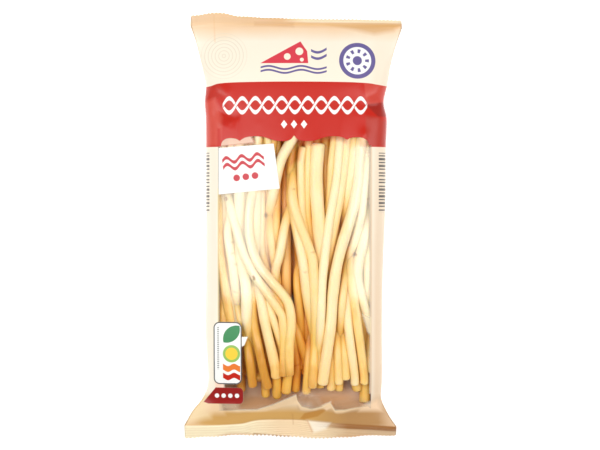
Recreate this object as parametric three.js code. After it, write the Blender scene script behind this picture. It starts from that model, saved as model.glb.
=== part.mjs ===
// Flow-wrapped pack of smoked cheese strings, lying on its back with the window side up.
// One closed solid: the film bag, filled out by the strings that lie in it.
// Millimetres. +X across the pack, +Y along it towards the header, +Z up.
// Origin: middle of the footprint, on the surface that the pack lies on.

import * as THREE from "three";

// ---- Film and seals --------------------------------------------------------------------
const FIN_LENGTH = 10; // crimped end seal, from its root to the middle of the teeth
const FIN_THICKNESS = 1.0; // two films with their crimping
const TOOTH_COUNT = 54;
const TOOTH_DEPTH = 1.3;
const RIB_COUNT = 4; // crimp ribs that stand out along a fin
const RIB_HEIGHT = 0.16;
const RIBBED_SHARE = 0.8; // of the fin's length
const BACK_SEAM = { from: -3, to: 9, thickness: 0.6 }; // lengthwise seam, folded flat on the back
const SEAM_STEP = 0.1; // width over which the edge of the back seam drops

// ---- Cross-sections from the bottom fin to the top fin -----------------------------------
// left, right: the side folds of the film tube. crown: top of the section. side: height of the
// side folds. under: lowest film, cut off at the surface it lies on. round: 1 is a sharp-edged
// lens, as where the tube runs into a seal, and 2 a round-sided section, as where it is full.
const STATIONS = [
  { y: -112, left: -61.8, right: 58.8, crown: 9.4, side: 8.3, under: 7.9, round: 1.0 },
  { y: -105, left: -57.2, right: 53.4, crown: 12.4, side: 8.0, under: 3.2, round: 1.2 },
  { y: -99, left: -51.6, right: 50.2, crown: 15.6, side: 8.0, under: 0.2, round: 1.45 },
  { y: -91, left: -48.4, right: 50.4, crown: 21.0, side: 9.8, under: -0.4, round: 1.8 },
  { y: -82, left: -48.2, right: 50.6, crown: 25.2, side: 12.0, under: -0.4, round: 2.0 },
  { y: -64, left: -49.3, right: 50.4, crown: 28.0, side: 13.4, under: -0.4, round: 2.0 },
  { y: -30, left: -49.2, right: 50.8, crown: 29.6, side: 14.0, under: -0.4, round: 2.0 },
  { y: 14, left: -49.2, right: 52.4, crown: 30.2, side: 14.2, under: -0.4, round: 2.0 },
  { y: 45, left: -49.2, right: 52.6, crown: 29.6, side: 14.0, under: -0.4, round: 2.0 },
  { y: 60, left: -49.3, right: 53.0, crown: 28.4, side: 13.6, under: -0.4, round: 2.0 },
  { y: 69, left: -49.9, right: 51.3, crown: 27.4, side: 13.2, under: -0.4, round: 1.95 },
  { y: 79, left: -49.4, right: 53.5, crown: 26.4, side: 12.8, under: -0.4, round: 1.8 },
  { y: 90, left: -51.8, right: 55.4, crown: 24.2, side: 12.2, under: 0.2, round: 1.55 },
  { y: 102, left: -54.8, right: 58.6, crown: 19.0, side: 11.2, under: 3.4, round: 1.25 },
  { y: 112, left: -58.2, right: 61.8, crown: 11.9, side: 10.6, under: 10.2, round: 1.0 },
];
const CROWN_POWER = 2.3; // across the front film: 2 is an ellipse, higher is flatter
const UNDER_POWER = 5; // across the back film, which the surface under it presses flat

// ---- End fins --------------------------------------------------------------------------
// Each list runs evenly from the left side to the right. droop: angle below the horizontal, in
// degrees. shift: how far the root of the fin strays along the pack, in millimetres.
const BOTTOM_FIN = {
  towards: -1,
  droop: [41, 48, 50, 22, 6, 12, 36, 54, 60],
  shift: [-2.2, -2.0, -1.2, 1.2, 1.2, 0.0, -1.2, -2.0, -3.0],
};
const TOP_FIN = {
  towards: 1,
  droop: [56, 43, 59, 64, 66, 67, 67, 68, 68],
  shift: [0.6, 0.6, 0.3, 0.2, 0.0, -0.2, -0.3, -0.5, -0.7],
};
const SHIFT_FADE = 16; // length of film inside each fin that follows its root
const FIN_BEND = 0.25; // share of a fin's length over which it turns down

// ---- Strings that press up into the front film -------------------------------------------
const STRING_RISE = 1.3;
const STRING_REACH = 0.62; // half width of a string's ridge, as a share of its diameter
const STRINGS = [
  { diameter: 6.2, path: [[40, 62], [39, 48.5], [36.5, 24], [33.5, 8], [28, -10], [24, -29], [21.5, -49],
    [19.5, -69], [16.5, -90.5]] },
  { diameter: 6.0, path: [[-19, 64], [-23, 16], [-23, -13], [-16.5, -26.5], [-6, -39], [-1, -52],
    [-1, -59], [-2, -68.5], [-2, -85.5]] },
  { diameter: 5.4, path: [[-38, 44], [-34, 5.5], [-28.5, -14.5], [-20.5, -30.5], [-11.5, -43.5],
    [-5.5, -55.5], [-5.5, -86]] },
  { diameter: 6.2, path: [[-21, -27], [-18, -44.5], [-14.5, -62.5], [-9.5, -87]] },
  { diameter: 6.2, path: [[-26, 60], [-30, 16], [-30, -14.5], [-26.5, -34.5], [-25, -62]] },
  { diameter: 7.9, path: [[14, 45.5], [13, 22.5], [14.5, -0.5], [15.5, -34.5]] },
  { diameter: 5.7, path: [[-1, 20.5], [1, 1.5], [5.5, -20], [8, -40.5], [12, -62.5]] },
  { diameter: 5.4, path: [[31.5, 64], [30, 49], [28, 25], [24, 2.5], [19.5, -21.5], [17.5, -44]] },
  { diameter: 5.7, path: [[43, 58], [42.5, 11], [39.5, -11.5], [36.5, -30.5], [40, -46], [44, -62]] },
  { diameter: 5.4, path: [[32.5, -21.5], [34.5, -43], [36.5, -60], [39, -75.5], [40, -90.5]] },
  { diameter: 5.1, path: [[30.5, -24.5], [30.5, -45.5], [32.5, -66.5], [35, -91]] },
  { diameter: 5.1, path: [[-1.5, 9.5], [-6, -9], [-9.5, -24.5], [-12, -43]] },
  { diameter: 5.1, path: [[-33, 58], [-34.5, 16], [-36.5, -6], [-33.5, -26], [-31, -62.5]] },
  { diameter: 5.1, path: [[-40, 62], [-39, 16.5], [-38.5, -20], [-35.5, -43], [-31.5, -68.5]] },
  { diameter: 4.8, path: [[5.5, 43.5], [5, 11], [8.5, -10]] },
  { diameter: 6.2, path: [[7, 60], [0.5, 49], [-7, 35.5], [-11, 18.5]] },
];

// ---- Folds in the front film: a ridge stands up, a negative rise is a pinched valley ------
const FOLDS = [
  { from: [-52, 69], to: [-37, 72], rise: -2.6, reach: 4 },
  { from: [-50, 80], to: [-36, 71], rise: 1.8, reach: 4 },
  { from: [-42, 64], to: [-30, 59], rise: -1.6, reach: 4 },
  { from: [55, 68], to: [40, 66], rise: -3.4, reach: 4 },
  { from: [55, 77], to: [38, 70], rise: 1.6, reach: 4.5 },
  { from: [64, 112], to: [44, 107], rise: -2.4, reach: 5 },
  { from: [-61, 112], to: [-42, 103], rise: -1.8, reach: 5 },
  { from: [-57, -108], to: [-45, -90], rise: -2.2, reach: 4 },
  { from: [54, -110], to: [44, -92], rise: -2.2, reach: 4 },
  { from: [-40, -106], to: [4, -96], rise: 1.9, reach: 3 },
  { from: [-40, -110], to: [2, -106], rise: -1.5, reach: 3.5 },
  { from: [3, -98], to: [20, -100], rise: -1.7, reach: 3.5 },
  { from: [4, -105], to: [22, -102], rise: 1.7, reach: 2.8 },
  { from: [22, -107], to: [43, -103], rise: 1.7, reach: 3 },
  { from: [30, -112], to: [52, -109], rise: -1.6, reach: 3.5 },
];

// ---- Where relief dies out: near the seals, and on the round sides ------------------------
const RELIEF_DEPTH = [1, 8]; // height of the crown over the side folds, from none to full relief
const RELIEF_SIDE = 2.5; // higher keeps the relief further down the sides
const SEAM_DEPTH = [1, 6]; // thickness of the section, from a flush back seam to a proud one

// ---- How finely the surface is divided ----------------------------------------------------
const RING_COUNT = 50;
const FRONT_COLUMNS = 50;
const BACK_COLUMNS_PER_SIDE = 8;
const EDGE_CROWDING = 0.4; // how much the columns crowd towards the round sides, 0 to 1
const FIN_STEPS = 12; // steps along a fin, to add up its bend

// ---- Sections of the tube -----------------------------------------------------------------

const FIRST_Y = STATIONS[0].y;
const LAST_Y = STATIONS[STATIONS.length - 1].y;

// A smooth curve through the stations' values of one field, at a place along the pack.
function stationValue(field, y) {
  const last = STATIONS.length - 1;
  let i = 0;
  while (i < last - 1 && STATIONS[i + 1].y < y) i += 1;
  const slope = (k) => {
    const a = STATIONS[Math.max(k - 1, 0)];
    const b = STATIONS[Math.min(k + 1, last)];
    return (b[field] - a[field]) / (b.y - a.y);
  };
  const low = STATIONS[i];
  const high = STATIONS[i + 1];
  const span = high.y - low.y;
  const t = THREE.MathUtils.clamp((y - low.y) / span, 0, 1);
  const t2 = t * t;
  const t3 = t2 * t;
  return low[field] * (2 * t3 - 3 * t2 + 1) + slope(i) * span * (t3 - 2 * t2 + t)
    + high[field] * (3 * t2 - 2 * t3) + slope(i + 1) * span * (t3 - t2);
}

function sectionAt(y) {
  const section = { y };
  for (const field of ["left", "right", "crown", "side", "under", "round"]) {
    section[field] = stationValue(field, y);
  }
  section.middle = (section.left + section.right) / 2;
  section.half = (section.right - section.left) / 2;
  return section;
}

// ---- Relief on the front film --------------------------------------------------------------

// Distance from a point to a line of points in plan, and how far along the line its foot is.
function distanceToPath(x, y, path) {
  let best = { distance: Infinity, along: 0 };
  for (let i = 0; i < path.length - 1; i += 1) {
    const dx = path[i + 1][0] - path[i][0];
    const dy = path[i + 1][1] - path[i][1];
    const foot = ((x - path[i][0]) * dx + (y - path[i][1]) * dy) / (dx * dx + dy * dy);
    const t = THREE.MathUtils.clamp(foot, 0, 1);
    const distance = Math.hypot(x - path[i][0] - t * dx, y - path[i][1] - t * dy);
    if (distance < best.distance) best = { distance, along: (i + t) / (path.length - 1) };
  }
  return best;
}

function stringRelief(x, y) {
  let highest = 0;
  for (const string of STRINGS) {
    const reach = string.diameter * STRING_REACH;
    const { distance } = distanceToPath(x, y, string.path);
    if (distance < reach) {
      highest = Math.max(highest, Math.cos((Math.PI / 2) * (distance / reach)) ** 2);
    }
  }
  return STRING_RISE * highest;
}

function foldRelief(x, y) {
  let total = 0;
  for (const fold of FOLDS) {
    const { distance, along } = distanceToPath(x, y, [fold.from, fold.to]);
    total += fold.rise * (1 - along * along) * Math.exp(-((distance / fold.reach) ** 2));
  }
  return total;
}

// ---- Points on the film ---------------------------------------------------------------------

// A smooth value from an even list that runs from the left side, s = -1, to the right, s = 1.
function acrossValue(list, s) {
  const place = ((s + 1) / 2) * (list.length - 1);
  const i = Math.min(Math.floor(place), list.length - 2);
  return THREE.MathUtils.lerp(list[i], list[i + 1], THREE.MathUtils.smootherstep(place - i, 0, 1));
}

// How far the film strays along the pack where it follows the root of a fin.
function strayAt(y, s) {
  const nearBottom = 1 - THREE.MathUtils.smoothstep(y, FIRST_Y, FIRST_Y + SHIFT_FADE);
  const nearTop = THREE.MathUtils.smoothstep(y, LAST_Y - SHIFT_FADE, LAST_Y);
  return nearBottom * acrossValue(BOTTOM_FIN.shift, s) + nearTop * acrossValue(TOP_FIN.shift, s);
}

// Front film at a share s of the half width, from -1 at the left fold to 1 at the right fold.
function frontPoint(section, s) {
  const x = section.middle + section.half * s;
  const rise = (1 - Math.abs(s) ** CROWN_POWER) ** (1 / section.round);
  const depth = section.crown - section.side;
  const relief = stringRelief(x, section.y) + foldRelief(x, section.y);
  const full = THREE.MathUtils.smoothstep(depth, ...RELIEF_DEPTH)
    * Math.min(1, RELIEF_SIDE * rise * rise);
  const z = section.side + depth * rise + relief * full + BACK_SEAM.thickness;
  return new THREE.Vector3(x, section.y + strayAt(section.y, s), z);
}

// Back film, with the lengthwise seam lying proud of it on the flat underside.
function backPoint(section, x, onSeam) {
  const s = (x - section.middle) / section.half;
  const rise = (1 - Math.abs(s) ** UNDER_POWER) ** (1 / section.round);
  const film = section.side - (section.side - section.under) * rise;
  const z = Math.max(film, 0) + BACK_SEAM.thickness;
  const proud = THREE.MathUtils.smoothstep(section.crown - section.under, ...SEAM_DEPTH);
  const seam = BACK_SEAM.thickness * proud;
  return new THREE.Vector3(x, section.y + strayAt(section.y, s), onSeam ? z - seam : z);
}

const frontShares = [];
for (let i = 0; i <= FRONT_COLUMNS; i += 1) {
  const even = -1 + (2 * i) / FRONT_COLUMNS;
  const crowded = Math.sin((Math.PI / 2) * even);
  frontShares.push(THREE.MathUtils.lerp(even, crowded, EDGE_CROWDING));
}

// The places across the back, from the right fold to the left one, in millimetres.
function backPlaces(section) {
  const places = [];
  const crowd = (k) => Math.sin((Math.PI / 2) * (k / (BACK_COLUMNS_PER_SIDE + 1)));
  for (let k = BACK_COLUMNS_PER_SIDE; k >= 1; k -= 1) {
    places.push({ x: THREE.MathUtils.lerp(BACK_SEAM.to, section.right, crowd(k)), onSeam: false });
  }
  places.push({ x: BACK_SEAM.to + SEAM_STEP, onSeam: false });
  places.push({ x: BACK_SEAM.to, onSeam: true });
  places.push({ x: BACK_SEAM.from, onSeam: true });
  places.push({ x: BACK_SEAM.from - SEAM_STEP, onSeam: false });
  for (let k = 1; k <= BACK_COLUMNS_PER_SIDE; k += 1) {
    places.push({ x: THREE.MathUtils.lerp(BACK_SEAM.from, section.left, crowd(k)), onSeam: false });
  }
  return places;
}

// A ring is a list of points round the tube, each with its share of the way round: the front
// film takes 0 to 0.5 from left to right, and the back film 0.5 to 1 from right to left.
function bodyRing(y) {
  const section = sectionAt(y);
  const ring = frontShares.map((s) => ({ share: (s + 1) / 4, point: frontPoint(section, s) }));
  for (const place of backPlaces(section)) {
    const s = (place.x - section.middle) / section.half;
    ring.push({ share: 0.5 + (1 - s) / 4, point: backPoint(section, place.x, place.onSeam) });
  }
  return ring;
}

// ---- End fins -------------------------------------------------------------------------------

// Middle of a fin's thickness, and the direction its front faces, at s across and t along it.
function finPlace(fin, section, s, t) {
  const droop = THREE.MathUtils.degToRad(acrossValue(fin.droop, s));
  let out = 0;
  let down = 0;
  for (let i = 0; i < FIN_STEPS; i += 1) {
    const angle = droop * Math.min(1, (t * (i + 0.5)) / FIN_STEPS / FIN_BEND);
    out += (Math.cos(angle) * t * FIN_LENGTH) / FIN_STEPS;
    down += (Math.sin(angle) * t * FIN_LENGTH) / FIN_STEPS;
  }
  const angle = droop * Math.min(1, t / FIN_BEND);
  const middle = (1 - Math.abs(s) ** CROWN_POWER) ** (1 / section.round);
  const root = THREE.MathUtils.lerp(section.side, (section.crown + section.under) / 2, middle);
  return {
    centre: new THREE.Vector3(
      section.middle + section.half * s,
      section.y + strayAt(section.y, s) + fin.towards * out,
      root + BACK_SEAM.thickness - down,
    ),
    facing: new THREE.Vector3(0, fin.towards * Math.sin(angle), Math.cos(angle)),
  };
}

function finRing(fin, section, t, shares, rib, toothAt) {
  const ring = [];
  const place = (s, side, index) => {
    const { centre, facing } = finPlace(fin, section, s, t + toothAt(index) / FIN_LENGTH);
    const edge = Math.abs(s) === 1 ? 0 : 1;
    return centre.addScaledVector(facing, side * edge * (FIN_THICKNESS / 2) + rib);
  };
  shares.forEach((s, i) => ring.push({ share: (s + 1) / 4, point: place(s, 1, i) }));
  for (let i = shares.length - 2; i >= 1; i -= 1) {
    ring.push({ share: 0.5 + (1 - shares[i]) / 4, point: place(shares[i], -1, i) });
  }
  return ring;
}

// The rings of one fin, from just outside its root to the teeth.
function finRings(fin) {
  const section = sectionAt(fin.towards > 0 ? LAST_Y : FIRST_Y);
  const plain = () => 0;
  const rings = [];
  for (let k = 1; k <= 2 * RIB_COUNT; k += 1) {
    const rib = k % 2 ? RIB_HEIGHT : -RIB_HEIGHT;
    const along = (RIBBED_SHARE * k) / (2 * RIB_COUNT);
    rings.push(finRing(fin, section, along, frontShares, rib, plain));
  }
  const toothShares = [];
  for (let i = 0; i <= 2 * TOOTH_COUNT; i += 1) toothShares.push(-1 + i / TOOTH_COUNT);
  const zigzag = (i) => (i % 2 ? TOOTH_DEPTH / 2 : -TOOTH_DEPTH / 2);
  rings.push(finRing(fin, section, 1, toothShares, 0, zigzag));
  return rings;
}

// ---- Skin over the rings ----------------------------------------------------------------------

const vertices = [];
const triangles = [];

function addRing(ring) {
  return ring.map(({ share, point }) => {
    vertices.push(point.x, point.y, point.z);
    return { share, index: vertices.length / 3 - 1 };
  });
}

// Joins two rings of any number of points, always stepping on the one that lags behind.
function joinRings(lower, upper) {
  const alike = lower.length === upper.length;
  const at = (ring, i) => {
    if (alike) return i;
    return i < ring.length ? ring[i].share : 1 + ring[i - ring.length].share;
  };
  let i = 0;
  let j = 0;
  while (i < lower.length || j < upper.length) {
    const a = lower[i % lower.length].index;
    const b = upper[j % upper.length].index;
    const stepLower = j >= upper.length
      || (i < lower.length && at(lower, i + 1) <= at(upper, j + 1));
    if (stepLower) {
      i += 1;
      triangles.push(a, lower[i % lower.length].index, b);
    } else {
      j += 1;
      triangles.push(a, upper[j % upper.length].index, b);
    }
  }
}

// Closes the toothed edge of a fin by joining its front to its back.
function closeRing(ring, towards) {
  const count = ring.length / 2;
  for (let i = 0; i < count; i += 1) {
    const front = [ring[i].index, ring[i + 1].index];
    const back = [ring[(ring.length - i) % ring.length].index, ring[ring.length - i - 1].index];
    const faces = [[front[0], back[1], front[1]], [front[0], back[0], back[1]]];
    for (const face of faces) {
      if (new Set(face).size < 3) continue;
      triangles.push(...(towards > 0 ? face.reverse() : face));
    }
  }
}

function buildPack() {
  const rings = finRings(BOTTOM_FIN).reverse();
  for (let k = 0; k <= RING_COUNT; k += 1) {
    rings.push(bodyRing(THREE.MathUtils.lerp(FIRST_Y, LAST_Y, k / RING_COUNT)));
  }
  rings.push(...finRings(TOP_FIN));
  const indexed = rings.map(addRing);
  for (let k = 0; k < indexed.length - 1; k += 1) joinRings(indexed[k], indexed[k + 1]);
  closeRing(indexed[0], BOTTOM_FIN.towards);
  closeRing(indexed[indexed.length - 1], TOP_FIN.towards);

  const geometry = new THREE.BufferGeometry();
  geometry.setAttribute("position", new THREE.Float32BufferAttribute(vertices, 3));
  geometry.setIndex(triangles);
  geometry.computeBoundingBox();
  const { min, max } = geometry.boundingBox;
  geometry.translate(-(min.x + max.x) / 2, -(min.y + max.y) / 2, -min.z);
  geometry.computeVertexNormals();
  return geometry;
}

// ---- The object -------------------------------------------------------------------------------

const filmMaterial = new THREE.MeshStandardMaterial({
  color: new THREE.Color(0.96, 0.86, 0.66),
  roughness: 0.28,
  metalness: 0,
});

const cheesePack = new THREE.Group();
const packMesh = new THREE.Mesh(buildPack(), filmMaterial);
packMesh.name = "string_cheese_pack";
cheesePack.add(packMesh);

export default cheesePack;
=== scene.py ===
"""Sealed film pack of smoked cheese strings, lying on its back with its window up.

A film bag, clear over its window and printed elsewhere, holds a loose bundle of about seventy-five
smoked cheese strings. The strings are laid from the window downwards, each under those that cross
over it, and the film is then drawn taut over them.

Shapes are worked out in millimetres, in plan coordinates whose zero is the middle of the window
side, and become metres in the frame of the part when a mesh is finished. +X runs across the pack,
+Y along it towards the header, and +Z up.
"""

import logging
import math
from collections.abc import Iterable, Sequence
from dataclasses import dataclass, field
from enum import Enum

import bpy
import numpy as np
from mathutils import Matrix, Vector


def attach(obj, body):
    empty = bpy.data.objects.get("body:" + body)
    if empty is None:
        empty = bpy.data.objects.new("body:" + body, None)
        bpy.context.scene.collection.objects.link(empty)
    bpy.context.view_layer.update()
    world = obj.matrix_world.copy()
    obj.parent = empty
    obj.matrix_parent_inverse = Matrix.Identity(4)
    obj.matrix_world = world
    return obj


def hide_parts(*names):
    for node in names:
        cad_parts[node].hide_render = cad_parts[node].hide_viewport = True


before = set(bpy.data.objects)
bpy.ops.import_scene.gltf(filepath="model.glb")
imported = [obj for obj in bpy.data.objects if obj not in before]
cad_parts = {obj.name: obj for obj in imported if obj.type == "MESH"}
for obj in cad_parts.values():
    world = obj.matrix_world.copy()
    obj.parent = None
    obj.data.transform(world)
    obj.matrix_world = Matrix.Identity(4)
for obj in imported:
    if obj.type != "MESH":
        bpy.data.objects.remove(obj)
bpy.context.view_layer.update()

log = logging.getLogger("string_cheese_pack")

MM = 0.001
ROOT = "root"
CAD_NODE = "string_cheese_pack"

Point = tuple[float, float]
Place = tuple[float, float, float]
Colour = tuple[float, float, float]
Socket = bpy.types.NodeSocket
Paint = Colour | Socket


class Slot(Enum):
    """The material slots of the record."""

    FILM = "film"
    CHEESE = "cheese"


# ---- Small curves and steps ----


def smoothstep(value: np.ndarray | float, low: float, high: float) -> np.ndarray:
    """A smooth step from 0 at low to 1 at high."""
    t = np.clip((value - low) / (high - low), 0.0, 1.0)
    return t * t * (3 - 2 * t)


def smootherstep(t: np.ndarray) -> np.ndarray:
    """A smoother step from 0 to 1 over the unit range."""
    t = np.clip(t, 0.0, 1.0)
    return t**3 * (t * (6 * t - 15) + 10)


def across_value(values: Sequence[float], share: np.ndarray) -> np.ndarray:
    """A smooth value from an even list.

    Args:
        values: The values, evenly spaced from the left side to the right.
        share: Places across, from -1 at the left side to 1 at the right.

    Returns:
        The value at each place.
    """
    table = np.asarray(values, float)
    place = (np.asarray(share) + 1) / 2 * (len(table) - 1)
    i = np.clip(np.floor(place).astype(int), 0, len(table) - 2)
    return table[i] + (table[i + 1] - table[i]) * smootherstep(place - i)


def curve_through(points: Sequence[Point], step: float) -> np.ndarray:
    """A smooth line through points in plan, as close points.

    Args:
        points: The points that the line passes through.
        step: Rough distance between the close points.

    Returns:
        An array of plan points.
    """
    given = np.asarray(points, float)
    padded = np.vstack([2 * given[0] - given[1], given, 2 * given[-1] - given[-2]])
    pieces = []
    for a, b, c, d in zip(padded, padded[1:], padded[2:], padded[3:]):
        count = max(2, int(np.ceil(np.linalg.norm(c - b) / step)))
        t = np.linspace(0, 1, count, endpoint=False)[:, None]
        pieces.append(
            0.5 * (2 * b + (c - a) * t + (2 * a - 5 * b + 4 * c - d) * t**2
                   + (3 * b - a - 3 * c + d) * t**3)
        )
    return np.vstack([*pieces, given[-1:]])


def evenly(points: np.ndarray, count: int) -> np.ndarray:
    """The same line with evenly spaced points.

    Args:
        points: Plan points of the line.
        count: How many points to place.

    Returns:
        An array of plan points.
    """
    along = np.concatenate([[0], np.cumsum(np.linalg.norm(np.diff(points, axis=0), axis=1))])
    places = np.linspace(0, along[-1], count)
    return np.column_stack([np.interp(places, along, points[:, k]) for k in range(2)])


def length_of(points: np.ndarray) -> float:
    """Length of a line of points."""
    return float(np.linalg.norm(np.diff(points, axis=0), axis=1).sum())


# ---- Mesh helpers ----


def deselect_all() -> None:
    """Leaves object mode with nothing selected."""
    if bpy.context.object is not None and bpy.context.object.mode != "OBJECT":
        bpy.ops.object.mode_set(mode="OBJECT")
    bpy.ops.object.select_all(action="DESELECT")


def corners_of(mesh: bpy.types.Mesh) -> np.ndarray:
    """The vertices of a mesh, a row of three numbers for each."""
    co = np.empty(len(mesh.vertices) * 3)
    mesh.vertices.foreach_get("co", co)
    return co.reshape(-1, 3)


def move_corners(mesh: bpy.types.Mesh, co: np.ndarray) -> None:
    """Puts the vertices of a mesh at new places."""
    mesh.vertices.foreach_set("co", np.ascontiguousarray(co, float).ravel())
    mesh.update()


def write_values(mesh: bpy.types.Mesh, name: str, values: np.ndarray) -> None:
    """Writes one number for each vertex, for a material to read."""
    attribute = mesh.attributes.new(name, "FLOAT", "POINT")
    attribute.data.foreach_set("value", values.astype(np.float32))


def finish_piece(piece: bpy.types.Object, material: bpy.types.Material) -> None:
    """Dresses a piece, puts it in the place of the plain pack and lets it ride on its one body.

    Args:
        piece: The finished piece.
        material: Its finish.
    """
    piece.data.materials.clear()
    piece.data.materials.append(material)
    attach(piece, ROOT)
    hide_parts(CAD_NODE)
    log.info("%s: %d faces", piece.name, len(piece.data.polygons))


# ---- Form of the filled film tube ----


@dataclass(frozen=True)
class Station:
    """A cross-section of the film tube, in millimetres.

    left and right are the side folds, crown the top, side the height of the side folds, and under
    the lowest film. round is 1 for a sharp-edged lens and 2 for a round-sided section.
    """

    y: float
    left: float
    right: float
    crown: float
    side: float
    under: float
    round: float


STATIONS = (
    Station(-112, -61.8, 58.8, 9.4, 8.3, 7.9, 1.0),
    Station(-105, -57.2, 53.4, 12.4, 8.0, 3.2, 1.2),
    Station(-99, -51.6, 50.2, 15.6, 8.0, 0.2, 1.45),
    Station(-91, -48.4, 50.4, 21.0, 9.8, -0.4, 1.8),
    Station(-82, -48.2, 50.6, 25.2, 12.0, -0.4, 2.0),
    Station(-64, -49.3, 50.4, 28.0, 13.4, -0.4, 2.0),
    Station(-30, -49.2, 50.8, 29.6, 14.0, -0.4, 2.0),
    Station(14, -49.2, 52.4, 30.2, 14.2, -0.4, 2.0),
    Station(45, -49.2, 52.6, 29.6, 14.0, -0.4, 2.0),
    Station(60, -49.3, 53.0, 28.4, 13.6, -0.4, 2.0),
    Station(69, -49.9, 51.3, 27.4, 13.2, -0.4, 1.95),
    Station(79, -49.4, 53.5, 26.4, 12.8, -0.4, 1.8),
    Station(90, -51.8, 55.4, 24.2, 12.2, 0.2, 1.55),
    Station(102, -54.8, 58.6, 19.0, 11.2, 3.4, 1.25),
    Station(112, -58.2, 61.8, 11.9, 10.6, 10.2, 1.0),
)


@dataclass(frozen=True)
class Fin:
    """A crimped end seal that turns down from the end of the film tube.

    towards is 1 at the header end and -1 at the other. droop is the angle below the horizontal and
    shift how far the root strays along the pack, both evenly from the left side to the right. bend
    is the share of the length over which the fin turns down.
    """

    towards: int
    droop: tuple[float, ...]
    shift: tuple[float, ...]
    length: float = 10.0
    thickness: float = 0.7
    bend: float = 0.25

    def reach(self, share: np.ndarray, t: np.ndarray) -> tuple[np.ndarray, np.ndarray, np.ndarray]:
        """How a fin runs from its root.

        Args:
            share: Places across, from -1 to 1.
            t: Places along the fin, 0 at the root and 1 at the middle of the teeth.

        Returns:
            How far out, how far down, and the angle below the horizontal.
        """
        droop = np.radians(across_value(self.droop, share))
        turning = np.minimum(t, self.bend)
        angle = droop * turning / self.bend
        straight = np.maximum(t - self.bend, 0)
        radius = self.bend / droop
        out = radius * np.sin(angle) + straight * np.cos(angle)
        down = radius * (1 - np.cos(angle)) + straight * np.sin(angle)
        return out * self.length, down * self.length, angle


# How far from the middle of the plan the roots of the fins lie.
FIN_ROOT = STATIONS[-1].y
BOTTOM_FIN = Fin(
    towards=-1,
    droop=(41, 48, 50, 22, 6, 12, 36, 54, 60),
    shift=(-2.2, -2.0, -1.2, 1.2, 1.2, 0.0, -1.2, -2.0, -3.0),
)
TOP_FIN = Fin(
    towards=1,
    droop=(56, 43, 59, 64, 66, 67, 67, 68, 68),
    shift=(0.6, 0.6, 0.3, 0.2, 0.0, -0.2, -0.3, -0.5, -0.7),
)


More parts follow.
